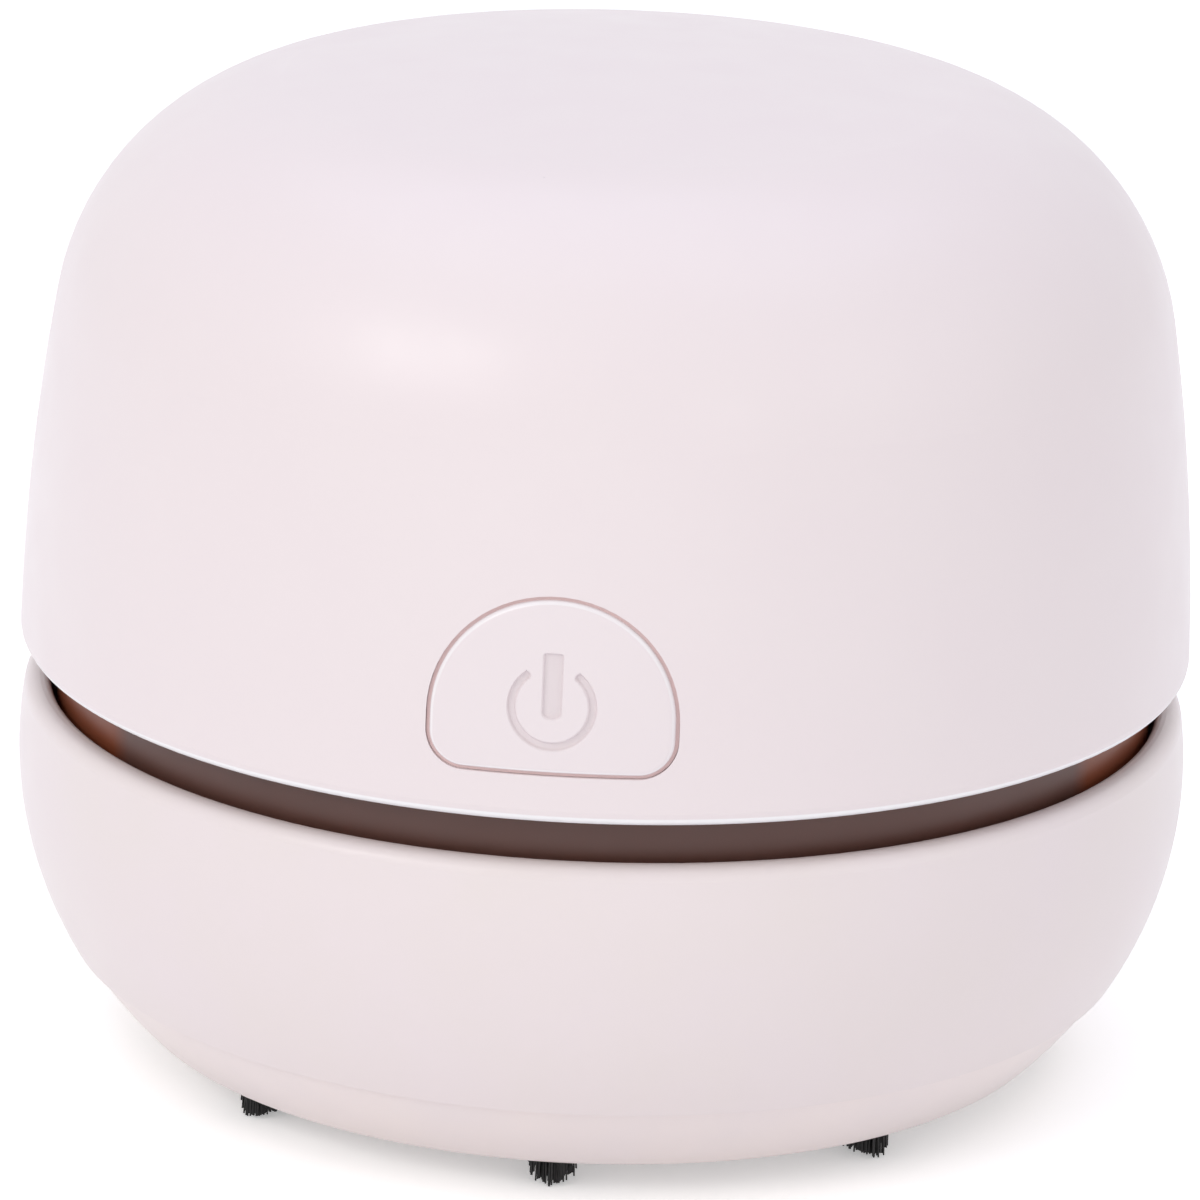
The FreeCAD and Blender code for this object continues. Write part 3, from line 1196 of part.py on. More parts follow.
def make_switch():
    plate = block("guide_plate", "0 - guide_half", "guide_half", "0 - guide_front", "0 - guide_back",
                  "deck_top_z", "button_low_z + button_height")
    feet = [block(f"guide_foot_{index}", low, high, "0 - guide_front", "guide_foot - guide_back",
                  "deck_top_z", "deck_top_z + foot_thick")
            for index, (low, high) in enumerate((("guide_half - guide_foot", "guide_half"),
                                                 ("0 - guide_half", "guide_foot - guide_half")))]
    hole = cylinder("guide_hole", "stem_radius + stem_play", f"guide_thick + 2 * {OVER}", "0",
                    f"0 - guide_front - {OVER}", "button_axis_z", ALONG_Y)
    node("button_guide", subtract("button_guide", join("guide_blank", [plate] + feet), [hole]))

    case = block("switch_case", "0 - switch_half", "switch_half", "0 - switch_front", "0 - switch_back",
                 "button_axis_z - switch_half", "button_axis_z + switch_half")
    bore = cylinder("switch_bore", "plunger_radius + plunger_play",
                    f"plunger_inside + button_travel + plunger_end_gap + {OVER}", "0",
                    f"0 - switch_front - {OVER}", "button_axis_z", ALONG_Y)
    node("switch_body", subtract("switch_body", case, [bore]))
    node("switch_plunger", cylinder("switch_plunger", "plunger_radius", "plunger_reach + plunger_inside",
                                    "0", "0 - stem_tip", "button_axis_z", ALONG_Y))
    upright = block("bracket_upright", "0 - bracket_half", "bracket_half", "0 - switch_back",
                    "0 - bracket_back", "deck_top_z", "button_axis_z + switch_half + bracket_rim")
    foot = block("bracket_foot", "0 - bracket_half", "bracket_half", "0 - switch_front",
                 "0 - bracket_back", "deck_top_z", "deck_top_z + foot_thick")
    foot_hole = cylinder("bracket_hole", "pilot", f"foot_thick + 2 * {OVER}", "0",
                         "0 - bracket_screw_y", f"deck_top_z - {OVER}")
    node("switch_bracket", subtract("switch_bracket", join("bracket_blank", [upright, foot]), [foot_hole]))
    node("bracket_screw", screw("bracket_screw_part", "0", "0 - bracket_screw_y", "deck_z",
                                "deck_thick + foot_thick"))


# ---------------------------------------------------------------- wires

def make_wires():
    pad_y, far_pad_y = "board_near + pad_inset", "board_near + far_pad_inset"
    turn_z = "board_top_z + wire_rise"
    terminal_z = "cap_top_z + terminal_height / 2"
    node("motor_wires", gather("motor_wires", [
        wire(f"motor_wire_{index}", [
            (f"{side} * terminal_offset", "terminal_width / 2", terminal_z),
            (f"{side} * terminal_offset", "cradle_outer + motor_wire_reach", terminal_z),
            (f"{side} * wire_pitch", pad_y, f"{turn_z} + wire_over"),
            (f"{side} * wire_pitch", pad_y, "board_top_z"),
        ]) for index, side in enumerate(("1", "(0 - 1)"))]))
    tab_z, end_y = "cell_z + holder_end_rise / 2", "holder_y + holder_end"
    over_cell = "cell_z + cell_radius + wire_over"
    minus_x, inner_x = "0 - board_half + rail_width + wire_pitch", "cell_x + wire_bend / 2"
    node("battery_wires", gather("battery_wires", [
        wire("battery_wire_plus", [
            ("cell_x", end_y, tab_z),
            ("cell_x", f"{end_y} + wire_exit", tab_z),
            ("wire_pitch - board_half", far_pad_y, turn_z),
            ("wire_pitch - board_half", far_pad_y, "board_top_z"),
        ]),
        wire("battery_wire_minus", [
            ("cell_x", f"0 - ({end_y})", tab_z),
            ("cell_x", f"0 - ({end_y}) - wire_exit", tab_z),
            (inner_x, f"0 - ({end_y}) - wire_exit", over_cell),
            (inner_x, "contact_y / 3", over_cell),
            (f"{minus_x} - cell_radius", "board_near - wire_pitch", over_cell),
            (minus_x, pad_y, turn_z),
            (minus_x, pad_y, "board_top_z"),
        ]),
    ]))
    over_mount = "mount_top_z + screw_head_height + wire_over"
    switch_y = "0 - (switch_front + switch_back) / 2"
    outside = "mount_screw_circle + wire_outside"
    node("switch_wires", gather("switch_wires", [
        wire(f"switch_wire_{index}", [
            (f"{side} * wire_pitch / 2", switch_y, "button_axis_z + switch_half"),
            (f"{side} * wire_pitch / 2", switch_y, over_mount),
            (f"{outside} + {side} * wire_pitch / 2", "0 - mount_screw_circle / 3", over_mount),
            (f"{outside} + {side} * wire_pitch / 2", "mount_screw_circle / 3", over_mount),
            (f"board_half + {side} * wire_pitch / 2", "board_near - wire_pitch", over_mount),
            (f"usb_half + (2 + {side}) * wire_pitch / 2", pad_y, over_mount),
            (f"usb_half + (2 + {side}) * wire_pitch / 2", pad_y, "board_top_z"),
        ]) for index, side in enumerate(("1", "(0 - 1)"))]))


# ---------------------------------------------------------------- build, check and write

def build():
    make_upper_shell()
    make_lower_shell()
    make_base_plate()
    make_brush_tufts()
    make_inlet_tube()
    make_dust_cup()
    make_chassis()
    make_filter()
    make_fan()
    make_motor()
    make_motor_mount()
    make_battery()
    make_charging()
    make_button()
    make_button_spring()
    make_switch()
    make_wires()
    doc.recompute()


def check():
    for item in doc.Objects:
        if "Invalid" in item.State or "Error" in item.State:
            raise RuntimeError(f"{item.Label} failed: {item.State}")
    for name, item in NODES.items():
        if item.Shape.isNull() or not item.Shape.isValid() or not item.Shape.Solids:
            raise RuntimeError(f"{name} has no valid solid")


def write():
    os.makedirs("parts", exist_ok=True)
    for name, item in NODES.items():
        item.Shape.exportStep(f"parts/{name}.step")
        box = item.Shape.BoundBox
        print(f"{name:18s} solids {len(item.Shape.Solids)}  volume {item.Shape.Volume:9.2f}"
              f"  z {box.ZMin:6.2f} to {box.ZMax:6.2f}")


build()
check()
write()
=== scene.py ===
import json
import math
import random

import bpy
from bpy.props import FloatProperty, FloatVectorProperty, IntProperty, PointerProperty
from bpy.types import Operator, Panel, PropertyGroup
from mathutils import Matrix, Vector


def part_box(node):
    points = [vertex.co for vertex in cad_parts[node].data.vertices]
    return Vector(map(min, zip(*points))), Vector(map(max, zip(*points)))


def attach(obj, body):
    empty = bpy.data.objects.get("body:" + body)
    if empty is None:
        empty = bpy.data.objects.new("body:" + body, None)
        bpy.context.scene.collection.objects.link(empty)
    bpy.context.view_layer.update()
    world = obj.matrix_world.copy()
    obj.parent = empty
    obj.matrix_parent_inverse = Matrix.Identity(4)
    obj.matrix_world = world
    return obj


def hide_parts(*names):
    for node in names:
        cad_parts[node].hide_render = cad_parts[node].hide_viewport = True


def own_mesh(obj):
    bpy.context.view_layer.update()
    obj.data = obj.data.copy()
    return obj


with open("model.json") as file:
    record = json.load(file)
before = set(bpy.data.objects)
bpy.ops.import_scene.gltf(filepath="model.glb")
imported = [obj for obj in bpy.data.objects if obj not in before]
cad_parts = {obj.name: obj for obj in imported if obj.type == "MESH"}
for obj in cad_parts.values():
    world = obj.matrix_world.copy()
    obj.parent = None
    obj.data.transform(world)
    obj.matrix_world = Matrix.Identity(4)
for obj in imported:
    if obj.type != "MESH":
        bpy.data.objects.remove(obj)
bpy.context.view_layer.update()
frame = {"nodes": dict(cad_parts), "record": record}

bl_info = {
    "name": "Desk Crumb Vacuum",
    "version": (1, 0, 0),
    "blender": (4, 5, 0),
    "location": "View3D > Sidebar > Crumb Vacuum",
    "description": "Dresses a palm-size desk vacuum cleaner in moulded, smoked and bristle finishes",
    "category": "Object",
}

MM = 0.001
TURN = 2 * math.pi
FINISH = "finish_"       # starts the name of every material that dresses the object
NODES = frame["nodes"]
SLOT_OF = {part["node"]: part["material_slot"] for part in frame["record"]["subparts"]}


# ---------------------------------------------------------------- colours and nodes

def paint(red, green, blue):
    """A screen colour of 0 to 255 per channel as the linear colour that Blender keeps."""
    def linear(level):
        share = level / 255
        return share / 12.92 if share <= 0.04045 else ((share + 0.055) / 1.055) ** 2.4
    return linear(red), linear(green), linear(blue)


def new_finish(name):
    """A material with an empty principled shader: the material, its tree and the shader."""
    finish = bpy.data.materials.new(name)
    finish.use_nodes = True
    tree = finish.node_tree
    return finish, tree, tree.nodes["Principled BSDF"]


def coordinates(tree):
    """The object's own coordinates in metres, the same for every use in a tree."""
    found = tree.nodes.get("Place") or tree.nodes.new("ShaderNodeTexCoord")
    found.name = "Place"
    return found.outputs["Object"]


def calculate(tree, operation, *values):
    """One Math node; a value is a link or a number."""
    step = tree.nodes.new("ShaderNodeMath")
    step.operation = operation
    for socket, value in zip(step.inputs, values):
        if isinstance(value, (int, float)):
            socket.default_value = value
        else:
            tree.links.new(value, socket)
    return step.outputs["Value"]


def cloud(tree, size, detail=3.0, stretch=None):
    """A soft noise whose lumps are about size metres across."""
    noise = tree.nodes.new("ShaderNodeTexNoise")
    noise.inputs["Scale"].default_value = 1 / size
    noise.inputs["Detail"].default_value = detail
    place = coordinates(tree)
    if stretch:
        mapping = tree.nodes.new("ShaderNodeMapping")
        mapping.inputs["Scale"].default_value = stretch
        tree.links.new(place, mapping.inputs["Vector"])
        place = mapping.outputs["Vector"]
    tree.links.new(place, noise.inputs["Vector"])
    return noise.outputs["Fac"]


def tint(tree, factor, first, second):
    """Goes softly from one colour to another as factor rises."""
    ramp = tree.nodes.new("ShaderNodeValToRGB")
    for stop, position, colour in zip(ramp.color_ramp.elements, (0.15, 0.85), (first, second)):
        stop.position = position
        stop.color = (*colour, 1)
    tree.links.new(factor, ramp.inputs["Fac"])
    return ramp.outputs["Color"]


def mix_colours(tree, share, first, second):
    """Goes from one colour link to a fixed colour as share goes from 0 to 1."""
    mix = tree.nodes.new("ShaderNodeMix")
    mix.data_type = "RGBA"
    tree.links.new(share, mix.inputs["Factor"])
    tree.links.new(first, mix.inputs["A"])
    mix.inputs["B"].default_value = (*second, 1)
    return mix.outputs["Result"]


def spread(tree, factor, low, high, from_low=0.3, from_high=0.7):
    """A number that runs from low to high as factor goes from from_low to from_high."""
    span = tree.nodes.new("ShaderNodeMapRange")
    ends = {"From Min": from_low, "From Max": from_high, "To Min": low, "To Max": high}
    for socket, level in ends.items():
        span.inputs[socket].default_value = level
    tree.links.new(factor, span.inputs["Value"])
    return span.outputs["Result"]


def relief(tree, shader, height, distance):
    """Bumps of distance metres on a shader, from a height between 0 and 1."""
    bump = tree.nodes.new("ShaderNodeBump")
    bump.inputs["Distance"].default_value = distance
    tree.links.new(height, bump.inputs["Height"])
    tree.links.new(bump.outputs["Normal"], shader.inputs["Normal"])


def dust_specks(tree, spacing, radius, share):
    """1 in a few tiny round specks, about spacing metres apart where they come, and 0 elsewhere."""
    cells = tree.nodes.new("ShaderNodeTexVoronoi")
    cells.inputs["Scale"].default_value = 1 / spacing
    tree.links.new(coordinates(tree), cells.inputs["Vector"])
    lot = tree.nodes.new("ShaderNodeSeparateColor")
    tree.links.new(cells.outputs["Color"], lot.inputs["Color"])
    near = calculate(tree, "LESS_THAN", cells.outputs["Distance"], radius / spacing)
    return calculate(tree, "MULTIPLY", near, calculate(tree, "LESS_THAN", lot.outputs["Red"], share))


def level_band(tree, low, high, fade):
    """1 between two heights and 0 a little outside them."""
    parts = tree.nodes.new("ShaderNodeSeparateXYZ")
    tree.links.new(coordinates(tree), parts.inputs["Vector"])
    height = parts.outputs["Z"]
    return calculate(tree, "MULTIPLY", spread(tree, height, 0.0, 1.0, low - fade, low),
                     spread(tree, height, 1.0, 0.0, high, high + fade))


def seen_directly(tree):
    """1 for a ray from the camera, off gloss or through clear plastic, 0 for the light on things."""
    rays = tree.nodes.new("ShaderNodeLightPath")
    seen = rays.outputs["Is Camera Ray"]
    for kind in ("Is Glossy Ray", "Is Transmission Ray"):
        seen = calculate(tree, "MAXIMUM", seen, rays.outputs[kind])
    return seen


# ---------------------------------------------------------------- finishes

def moulded(name, colour, shade, rough=(0.30, 0.38), grain=0.35 * MM, depth=0.004 * MM, lumps=9 * MM,
            specks=None, polished=None, shine=0.5):
    """Moulded plastic: slight clouding, a fine spark grain and a roughness that wanders.

    specks is the colour of sparse dust. The band given by two heights, a fade and a colour is a painted
    highlight: a near-white stripe that stands in for the light an edge catches."""
    _, tree, shader = new_finish(FINISH + name)
    coat = tint(tree, cloud(tree, lumps, detail=9.0), colour, shade)
    if specks is not None:
        dust = dust_specks(tree, spacing=3.2 * MM, radius=0.11 * MM, share=0.05)
        coat = mix_colours(tree, dust, coat, specks)
    # painted highlight: mix to a near-white colour between two heights
    if polished is not None:
        low, high, fade, bright = polished
        coat = mix_colours(tree, level_band(tree, low, high, fade), coat, bright)
    tree.links.new(coat, shader.inputs["Base Color"])
    tree.links.new(spread(tree, cloud(tree, lumps / 2), *rough), shader.inputs["Roughness"])
    shader.inputs["Specular IOR Level"].default_value = shine
    relief(tree, shader, cloud(tree, grain, detail=2.0), depth)


def metal(name, colour, shade, rough=(0.22, 0.36)):
    """Drawn or pressed metal with fine marks along one way."""
    _, tree, shader = new_finish(FINISH + name)
    marks = cloud(tree, size=0.8 * MM, detail=4.0, stretch=(1, 1, 12))
    tree.links.new(tint(tree, marks, colour, shade), shader.inputs["Base Color"])
    tree.links.new(spread(tree, marks, *rough), shader.inputs["Roughness"])
    shader.inputs["Metallic"].default_value = 1.0
    relief(tree, shader, marks, distance=0.004 * MM)


def smoked(name, colour, shade, rough, clear, rim=None):
    """Clear plastic with a smoke in it; rim is the colour of a curved wall where it is seen edge-on: partly
    the deeper tint of the longer path through the plastic, partly a painted glow, brighter orange that stands
    in for light coming through the wall.
    """
    rim_from, rim_to, rim_clear = 0.53, 0.58, 0.35
    _, tree, shader = new_finish(FINISH + name)
    shader.inputs["IOR"].default_value = 1.49    # acrylic
    shader.inputs["Specular IOR Level"].default_value = 0.4
    streaks = cloud(tree, size=14 * MM, detail=2.0, stretch=(1, 1, 0.25))
    body = tint(tree, streaks, colour, shade)
    if rim is None:
        shader.inputs["Transmission Weight"].default_value = clear
    else:
        # deeper tint and painted glow: the colour turns to rim where the wall is seen edge-on
        facing = tree.nodes.new("ShaderNodeLayerWeight").outputs["Facing"]
        edge_on = spread(tree, facing, 0.0, 1.0, rim_from, rim_to)
        body = mix_colours(tree, edge_on, body, rim)
        tree.links.new(spread(tree, edge_on, clear, rim_clear, 0.0, 1.0),
                       shader.inputs["Transmission Weight"])
    tree.links.new(body, shader.inputs["Base Color"])
    tree.links.new(spread(tree, cloud(tree, 5 * MM), *rough), shader.inputs["Roughness"])
    relief(tree, shader, cloud(tree, size=2.5 * MM, detail=1.0), distance=0.003 * MM)


def woven(name, thread, gap, pitch):
    """A plain weave of threads at a pitch, dark in the holes."""
    _, tree, shader = new_finish(FINISH + name)
    waves = []
    for axis in ("X", "Y"):
        wave = tree.nodes.new("ShaderNodeTexWave")
        wave.bands_direction = axis
        wave.inputs["Scale"].default_value = 1 / pitch / TURN * 2
        wave.inputs["Distortion"].default_value = 0.4
        tree.links.new(coordinates(tree), wave.inputs["Vector"])
        waves.append(wave.outputs["Fac"])
    threads = calculate(tree, "MAXIMUM", *waves)
    tree.links.new(tint(tree, threads, gap, thread), shader.inputs["Base Color"])
    shader.inputs["Roughness"].default_value = 0.7
    relief(tree, shader, threads, distance=pitch / 4)


def nylon(name, root, tip):
    """Black nylon that is a little greyer here and there."""
    rough = (0.5, 0.7)
    _, tree, shader = new_finish(FINISH + name)
    tree.links.new(tint(tree, cloud(tree, size=0.3 * MM, detail=2.0), root, tip), shader.inputs["Base Color"])
    tree.links.new(spread(tree, cloud(tree, 0.5 * MM), *rough), shader.inputs["Roughness"])
    relief(tree, shader, cloud(tree, size=0.08 * MM, detail=1.0), distance=0.004 * MM)


def make_finishes(colours):
    """Makes a material for each slot of the record, and for the parts of a slot that look different: the
    symbol, and copies that carry painted highlights, painted shade and painted light.
    """
    dusty = {"specks": colours.speck, "shine": 0.36}
    # painted highlight on the upper shell's rounded lower edge: a near-white band from 30.12 to 30.58 mm
    polished = (30.12 * MM, 30.58 * MM, 0.1 * MM, colours.edge)
    # painted shade: the lower shell is the upper shell's plastic a little darker, standing in for less light
    # on it
    moulded("pink_shell", colours.bowl, colours.shell_shade, **dusty)
    moulded("pink_dome", colours.shell, colours.shell_shade, polished=polished, **dusty)
    # painted light: the base plate is the shells' plastic made lighter, standing in for light from below
    moulded("pink_base", colours.base, colours.shell, **dusty)
    # painted shade: a darker, pinker colour for the groove round the button
    moulded("pink_groove", colours.groove, colours.groove_shade, (0.4, 0.5))
    # painted highlight: near-white colour for the button's rounded edge, standing in for the light it catches
    moulded("pink_rim", colours.edge, colours.button, (0.14, 0.2))
    moulded("pink_symbol", colours.symbol, colours.symbol_shade, (0.34, 0.42))
    moulded("pink_button", colours.button, colours.button_shade, (0.29, 0.35))
    smoked("smoked_cup", colours.smoke, colours.smoke_shade, (0.34, 0.42), clear=0.62, rim=colours.smoke_rim_tint_and_glow)
    smoked("smoked_tube", colours.smoke, colours.smoke_shade, (0.1, 0.18), clear=0.7)
    moulded("white_plastic", paint(232, 230, 226), paint(222, 220, 216), (0.38, 0.48))
    moulded("grey_plastic", paint(150, 150, 152), paint(136, 137, 140), (0.40, 0.50))
    moulded("black_plastic", paint(34, 33, 35), paint(44, 43, 46), (0.40, 0.52))
    nylon("black_bristle", colours.bristle, colours.bristle_tip)
    moulded("black_rubber", paint(26, 26, 27), paint(40, 39, 39), (0.62, 0.78),
            grain=0.2 * MM, depth=0.01 * MM)
    moulded("seal_rubber", paint(206, 200, 196), paint(188, 182, 178), (0.55, 0.7),
            grain=0.2 * MM, depth=0.008 * MM)
    metal("steel", paint(188, 190, 194), paint(150, 152, 158))
    metal("contact_metal", paint(214, 186, 128), paint(190, 160, 104), (0.28, 0.42))
    moulded("cell_wrap", paint(66, 118, 168), paint(58, 106, 154), (0.20, 0.34),
            grain=1.5 * MM, depth=0.02 * MM)
    moulded("board_green", paint(28, 92, 54), paint(40, 112, 66), (0.25, 0.4),
            grain=0.5 * MM, depth=0.02 * MM, lumps=1.2 * MM)
    moulded("chip_black", paint(30, 30, 32), paint(46, 46, 48), (0.45, 0.6),
            grain=0.12 * MM, depth=0.01 * MM, lumps=0.8 * MM)
    woven("filter_mesh", paint(216, 214, 210), paint(120, 118, 116), pitch=0.5 * MM)
    smoked("clear_light", paint(240, 240, 238), paint(226, 228, 230), (0.2, 0.3), clear=0.3)
    moulded("red_wire", paint(176, 34, 30), paint(150, 26, 24), (0.35, 0.5))
    moulded("black_wire", paint(28, 28, 30), paint(44, 44, 46), (0.35, 0.5))
    moulded("white_wire", paint(226, 224, 220), paint(206, 204, 200), (0.35, 0.5))


def finish_for(slot):
    """The material made for a slot of the record."""
    found = bpy.data.materials.get(FINISH + slot)
    if found is None:
        raise RuntimeError(f"no finish was made for {slot}")
    return found


def dress(*names, slot=None):
    """Gives CAD nodes the finish of their own slot, or of the one that is named."""
    for name in names:
        materials = NODES[name].data.materials
        materials.clear()
        materials.append(finish_for(slot or SLOT_OF[name]))


# ---------------------------------------------------------------- pieces

def new_piece(name, vertices, faces, node, body):
    """A mesh piece that stands for a CAD node, rides on its body and has its finish."""
    crease = math.radians(60)
    mesh = bpy.data.meshes.new(name)
    mesh.from_pydata(vertices, [], faces)
    mesh.validate()
    mesh.shade_smooth()
    mesh.set_sharp_from_angle(angle=crease)
    piece = bpy.data.objects.new(name, mesh)
    bpy.context.scene.collection.objects.link(piece)
    mesh.materials.append(finish_for(SLOT_OF[node]))
    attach(piece, body)
    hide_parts(node)
    return piece


def tube_faces(start, rings, sides):
    """The faces of a closed tube whose rings of sides points follow each other from the point start."""
    faces = []
    for ring in range(rings - 1):
        for side in range(sides):
            first = start + ring * sides + side
            second = start + ring * sides + (side + 1) % sides
            faces.append((first, first + sides, second + sides, second))
    last = start + (rings - 1) * sides
    faces.append(tuple(start + side for side in range(sides)))
    faces.append(tuple(last + side for side in reversed(range(sides))))
    return faces


# ---------------------------------------------------------------- settings

class CrumbVacuumColours(PropertyGroup):
    """Colours of the finishes"""
    shell: FloatVectorProperty(
        name="Shell", description="Colour of the upper shell",
        subtype="COLOR", size=3, min=0, max=1, default=paint(240, 229, 230))
    shell_shade: FloatVectorProperty(
        name="Shell shade", description="Second colour of the slight clouding in the shells",
        subtype="COLOR", size=3, min=0, max=1, default=paint(239, 227, 229))
    # painted shade: a little darker than the upper shell's own colour, standing in for less light on the
    # lower shell
    bowl: FloatVectorProperty(
        name="Bowl", description="Colour of the lower shell",
        subtype="COLOR", size=3, min=0, max=1, default=paint(237, 226, 224))
    # painted light: lighter than the shells' own colour, standing in for light from below on the base plate
    base: FloatVectorProperty(
        name="Base", description="Colour of the base plate",
        subtype="COLOR", size=3, min=0, max=1, default=paint(246, 233, 230))
    speck: FloatVectorProperty(
        name="Speck", description="Colour of the few dust specks on the shells",
        subtype="COLOR", size=3, min=0, max=1, default=paint(176, 164, 168))
    # painted highlight colour: near white, for the band on the upper shell's lower edge and for the button's
    # rounded rim
    edge: FloatVectorProperty(
        name="Edge", description="Colour of the upper shell's polished lower edge",
        subtype="COLOR", size=3, min=0, max=1, default=paint(254, 252, 253))
    # painted shade: the groove's two colours are darker and pinker than the button, standing in for the shade
    # in the groove
    groove: FloatVectorProperty(
        name="Groove", description="Colour in the groove round the button",
        subtype="COLOR", size=3, min=0, max=1, default=paint(230, 204, 202))
    groove_shade: FloatVectorProperty(
        name="Groove shade", description="Second colour in the groove round the button",
        subtype="COLOR", size=3, min=0, max=1, default=paint(222, 194, 192))
    button: FloatVectorProperty(
        name="Button", description="Colour of the power button",
        subtype="COLOR", size=3, min=0, max=1, default=paint(239, 228, 230))
    button_shade: FloatVectorProperty(
        name="Button shade", description="Second colour of the slight clouding in the button",
        subtype="COLOR", size=3, min=0, max=1, default=paint(238, 227, 229))
    symbol: FloatVectorProperty(
        name="Symbol", description="Colour of the recessed power symbol",
        subtype="COLOR", size=3, min=0, max=1, default=paint(232, 221, 223))
    symbol_shade: FloatVectorProperty(
        name="Symbol shade", description="Second colour of the recessed power symbol",
        subtype="COLOR", size=3, min=0, max=1, default=paint(229, 217, 219))
    smoke: FloatVectorProperty(
        name="Smoke", description="Colour that the dust cup's plastic gives to light",
        subtype="COLOR", size=3, min=0, max=1, default=paint(140, 98, 88))
    smoke_shade: FloatVectorProperty(
        name="Smoke shade", description="Second colour of the dust cup's plastic",
        subtype="COLOR", size=3, min=0, max=1, default=paint(134, 93, 83))
    # deeper tint and painted glow: brighter orange where the cup's wall is seen edge-on, standing in for
    # light coming through it
    smoke_rim_tint_and_glow: FloatVectorProperty(
        name="Smoke rim", description="Colour of the dust cup's wall where it is seen edge-on",
        subtype="COLOR", size=3, min=0, max=1, default=paint(150, 80, 52))
    bristle: FloatVectorProperty(
        name="Bristle", description="Colour of the brush bristles",
        subtype="COLOR", size=3, min=0, max=1, default=paint(14, 13, 14))
    bristle_tip: FloatVectorProperty(
        name="Bristle tip", description="Lighter colour in the brush bristles",
        subtype="COLOR", size=3, min=0, max=1, default=paint(30, 28, 29))


class CrumbVacuumButton(PropertyGroup):
    """Sizes of the power button, its symbol and its return spring"""
    half_width: FloatProperty(
        name="Half width", description="Half the button's width", default=8.25 * MM, unit="LENGTH")
    low: FloatProperty(
        name="Lower edge", description="Height of the button's lower edge", default=33.6 * MM, unit="LENGTH")
    arch: FloatProperty(
        name="Arch centre", description="Height of the centre of the button's arch", default=37.15 * MM,
        unit="LENGTH")
    corner: FloatProperty(
        name="Corner", description="Radius of the two lower corners", default=2.4 * MM, unit="LENGTH")
    edge: FloatProperty(
        name="Edge", description="Rounding of the face's edge", default=0.36 * MM, unit="LENGTH")
    wall_curve: FloatProperty(
        name="Wall curve", description="Radius of the shell's side, seen from the side",
        default=168.7 * MM, unit="LENGTH")
    wall_centre: FloatProperty(
        name="Wall centre", description="Distance of that arc's centre beyond the axis",
        default=126.7 * MM, unit="LENGTH")
    widest: FloatProperty(
        name="Widest height", description="Height at which the upper shell is widest",
        default=26.6 * MM, unit="LENGTH")
    proud: FloatProperty(
        name="Proud", description="Face outside the shell's surface", default=0.2 * MM, unit="LENGTH")
    back: FloatProperty(
        name="Back", description="Distance of the button's back from the axis", default=37.4 * MM,
        unit="LENGTH")
    flange_drop: FloatProperty(
        name="Flange drop", description="Flange's face inside the shell's surface", default=1.7 * MM,
        unit="LENGTH")
    flange_lip: FloatProperty(
        name="Flange lip", description="Flange outside the button's outline", default=1.1 * MM,
        unit="LENGTH")
    groove_drop: FloatProperty(
        name="Groove depth", description="Depth of the groove round the face, below the face",
        default=0.46 * MM, unit="LENGTH")
    groove_fill: FloatProperty(
        name="Groove fill", description="How far the button fills its clearance below the groove",
        default=0.17 * MM, unit="LENGTH")
    slack: FloatProperty(
        name="Slack", description="Spare room round the button's face", default=0.07 * MM, unit="LENGTH")
    axis: FloatProperty(
        name="Stem height", description="Height of the stem and the spring's pocket",
        default=39.5 * MM, unit="LENGTH")
    symbol_centre: FloatProperty(
        name="Symbol centre", description="Height of the centre of the symbol's ring",
        default=38.2 * MM, unit="LENGTH")
    symbol_radius: FloatProperty(
        name="Symbol radius", description="Middle of the symbol's ring", default=2.7 * MM, unit="LENGTH")
    symbol_line: FloatProperty(
        name="Symbol line", description="Half the width of the ring's line", default=0.25 * MM,
        unit="LENGTH")
    symbol_opening: FloatProperty(
        name="Symbol opening", description="Half the opening at the top of the ring",
        default=1.75 * MM, unit="LENGTH")
    bar_width: FloatProperty(
        name="Bar width", description="Half the width of the symbol's bar", default=0.63 * MM,
        unit="LENGTH")
    bar_low: FloatProperty(
        name="Bar low", description="Bar's lower end below the ring's centre", default=0.8 * MM,
        unit="LENGTH")
    bar_high: FloatProperty(
        name="Bar high", description="Bar's upper end above the ring's centre", default=3.6 * MM,
        unit="LENGTH")
    recess: FloatProperty(
        name="Recess", description="Depth of the symbol", default=0.30 * MM, unit="LENGTH")
    spring_wire: FloatProperty(
        name="Spring wire", description="Radius of the return spring's wire", default=0.22 * MM,
        unit="LENGTH")
    spring_turns: FloatProperty(
        name="Spring turns", description="Turns of the return spring", default=3.5, min=1, max=8)


class CrumbVacuumBrush(PropertyGroup):
    """Sizes of the bristles in the brush tufts"""
    count: IntProperty(
        name="Bristles", description="Bristles in one tuft", default=170, min=20, max=400)
    thickness: FloatProperty(
        name="Thickness", description="Diameter of one bristle", default=0.19 * MM, min=0.05 * MM,
        max=0.4 * MM, unit="LENGTH")
    spare: FloatProperty(
        name="Spare", description="How much shorter than the tuft the shortest bristles are",
        default=1.6 * MM, min=0.0, max=2.2 * MM, unit="LENGTH")
    splay: FloatProperty(
        name="Splay", description="How far the tips lean outwards", default=0.25 * MM, min=0.0,
        max=1.0 * MM, unit="LENGTH")


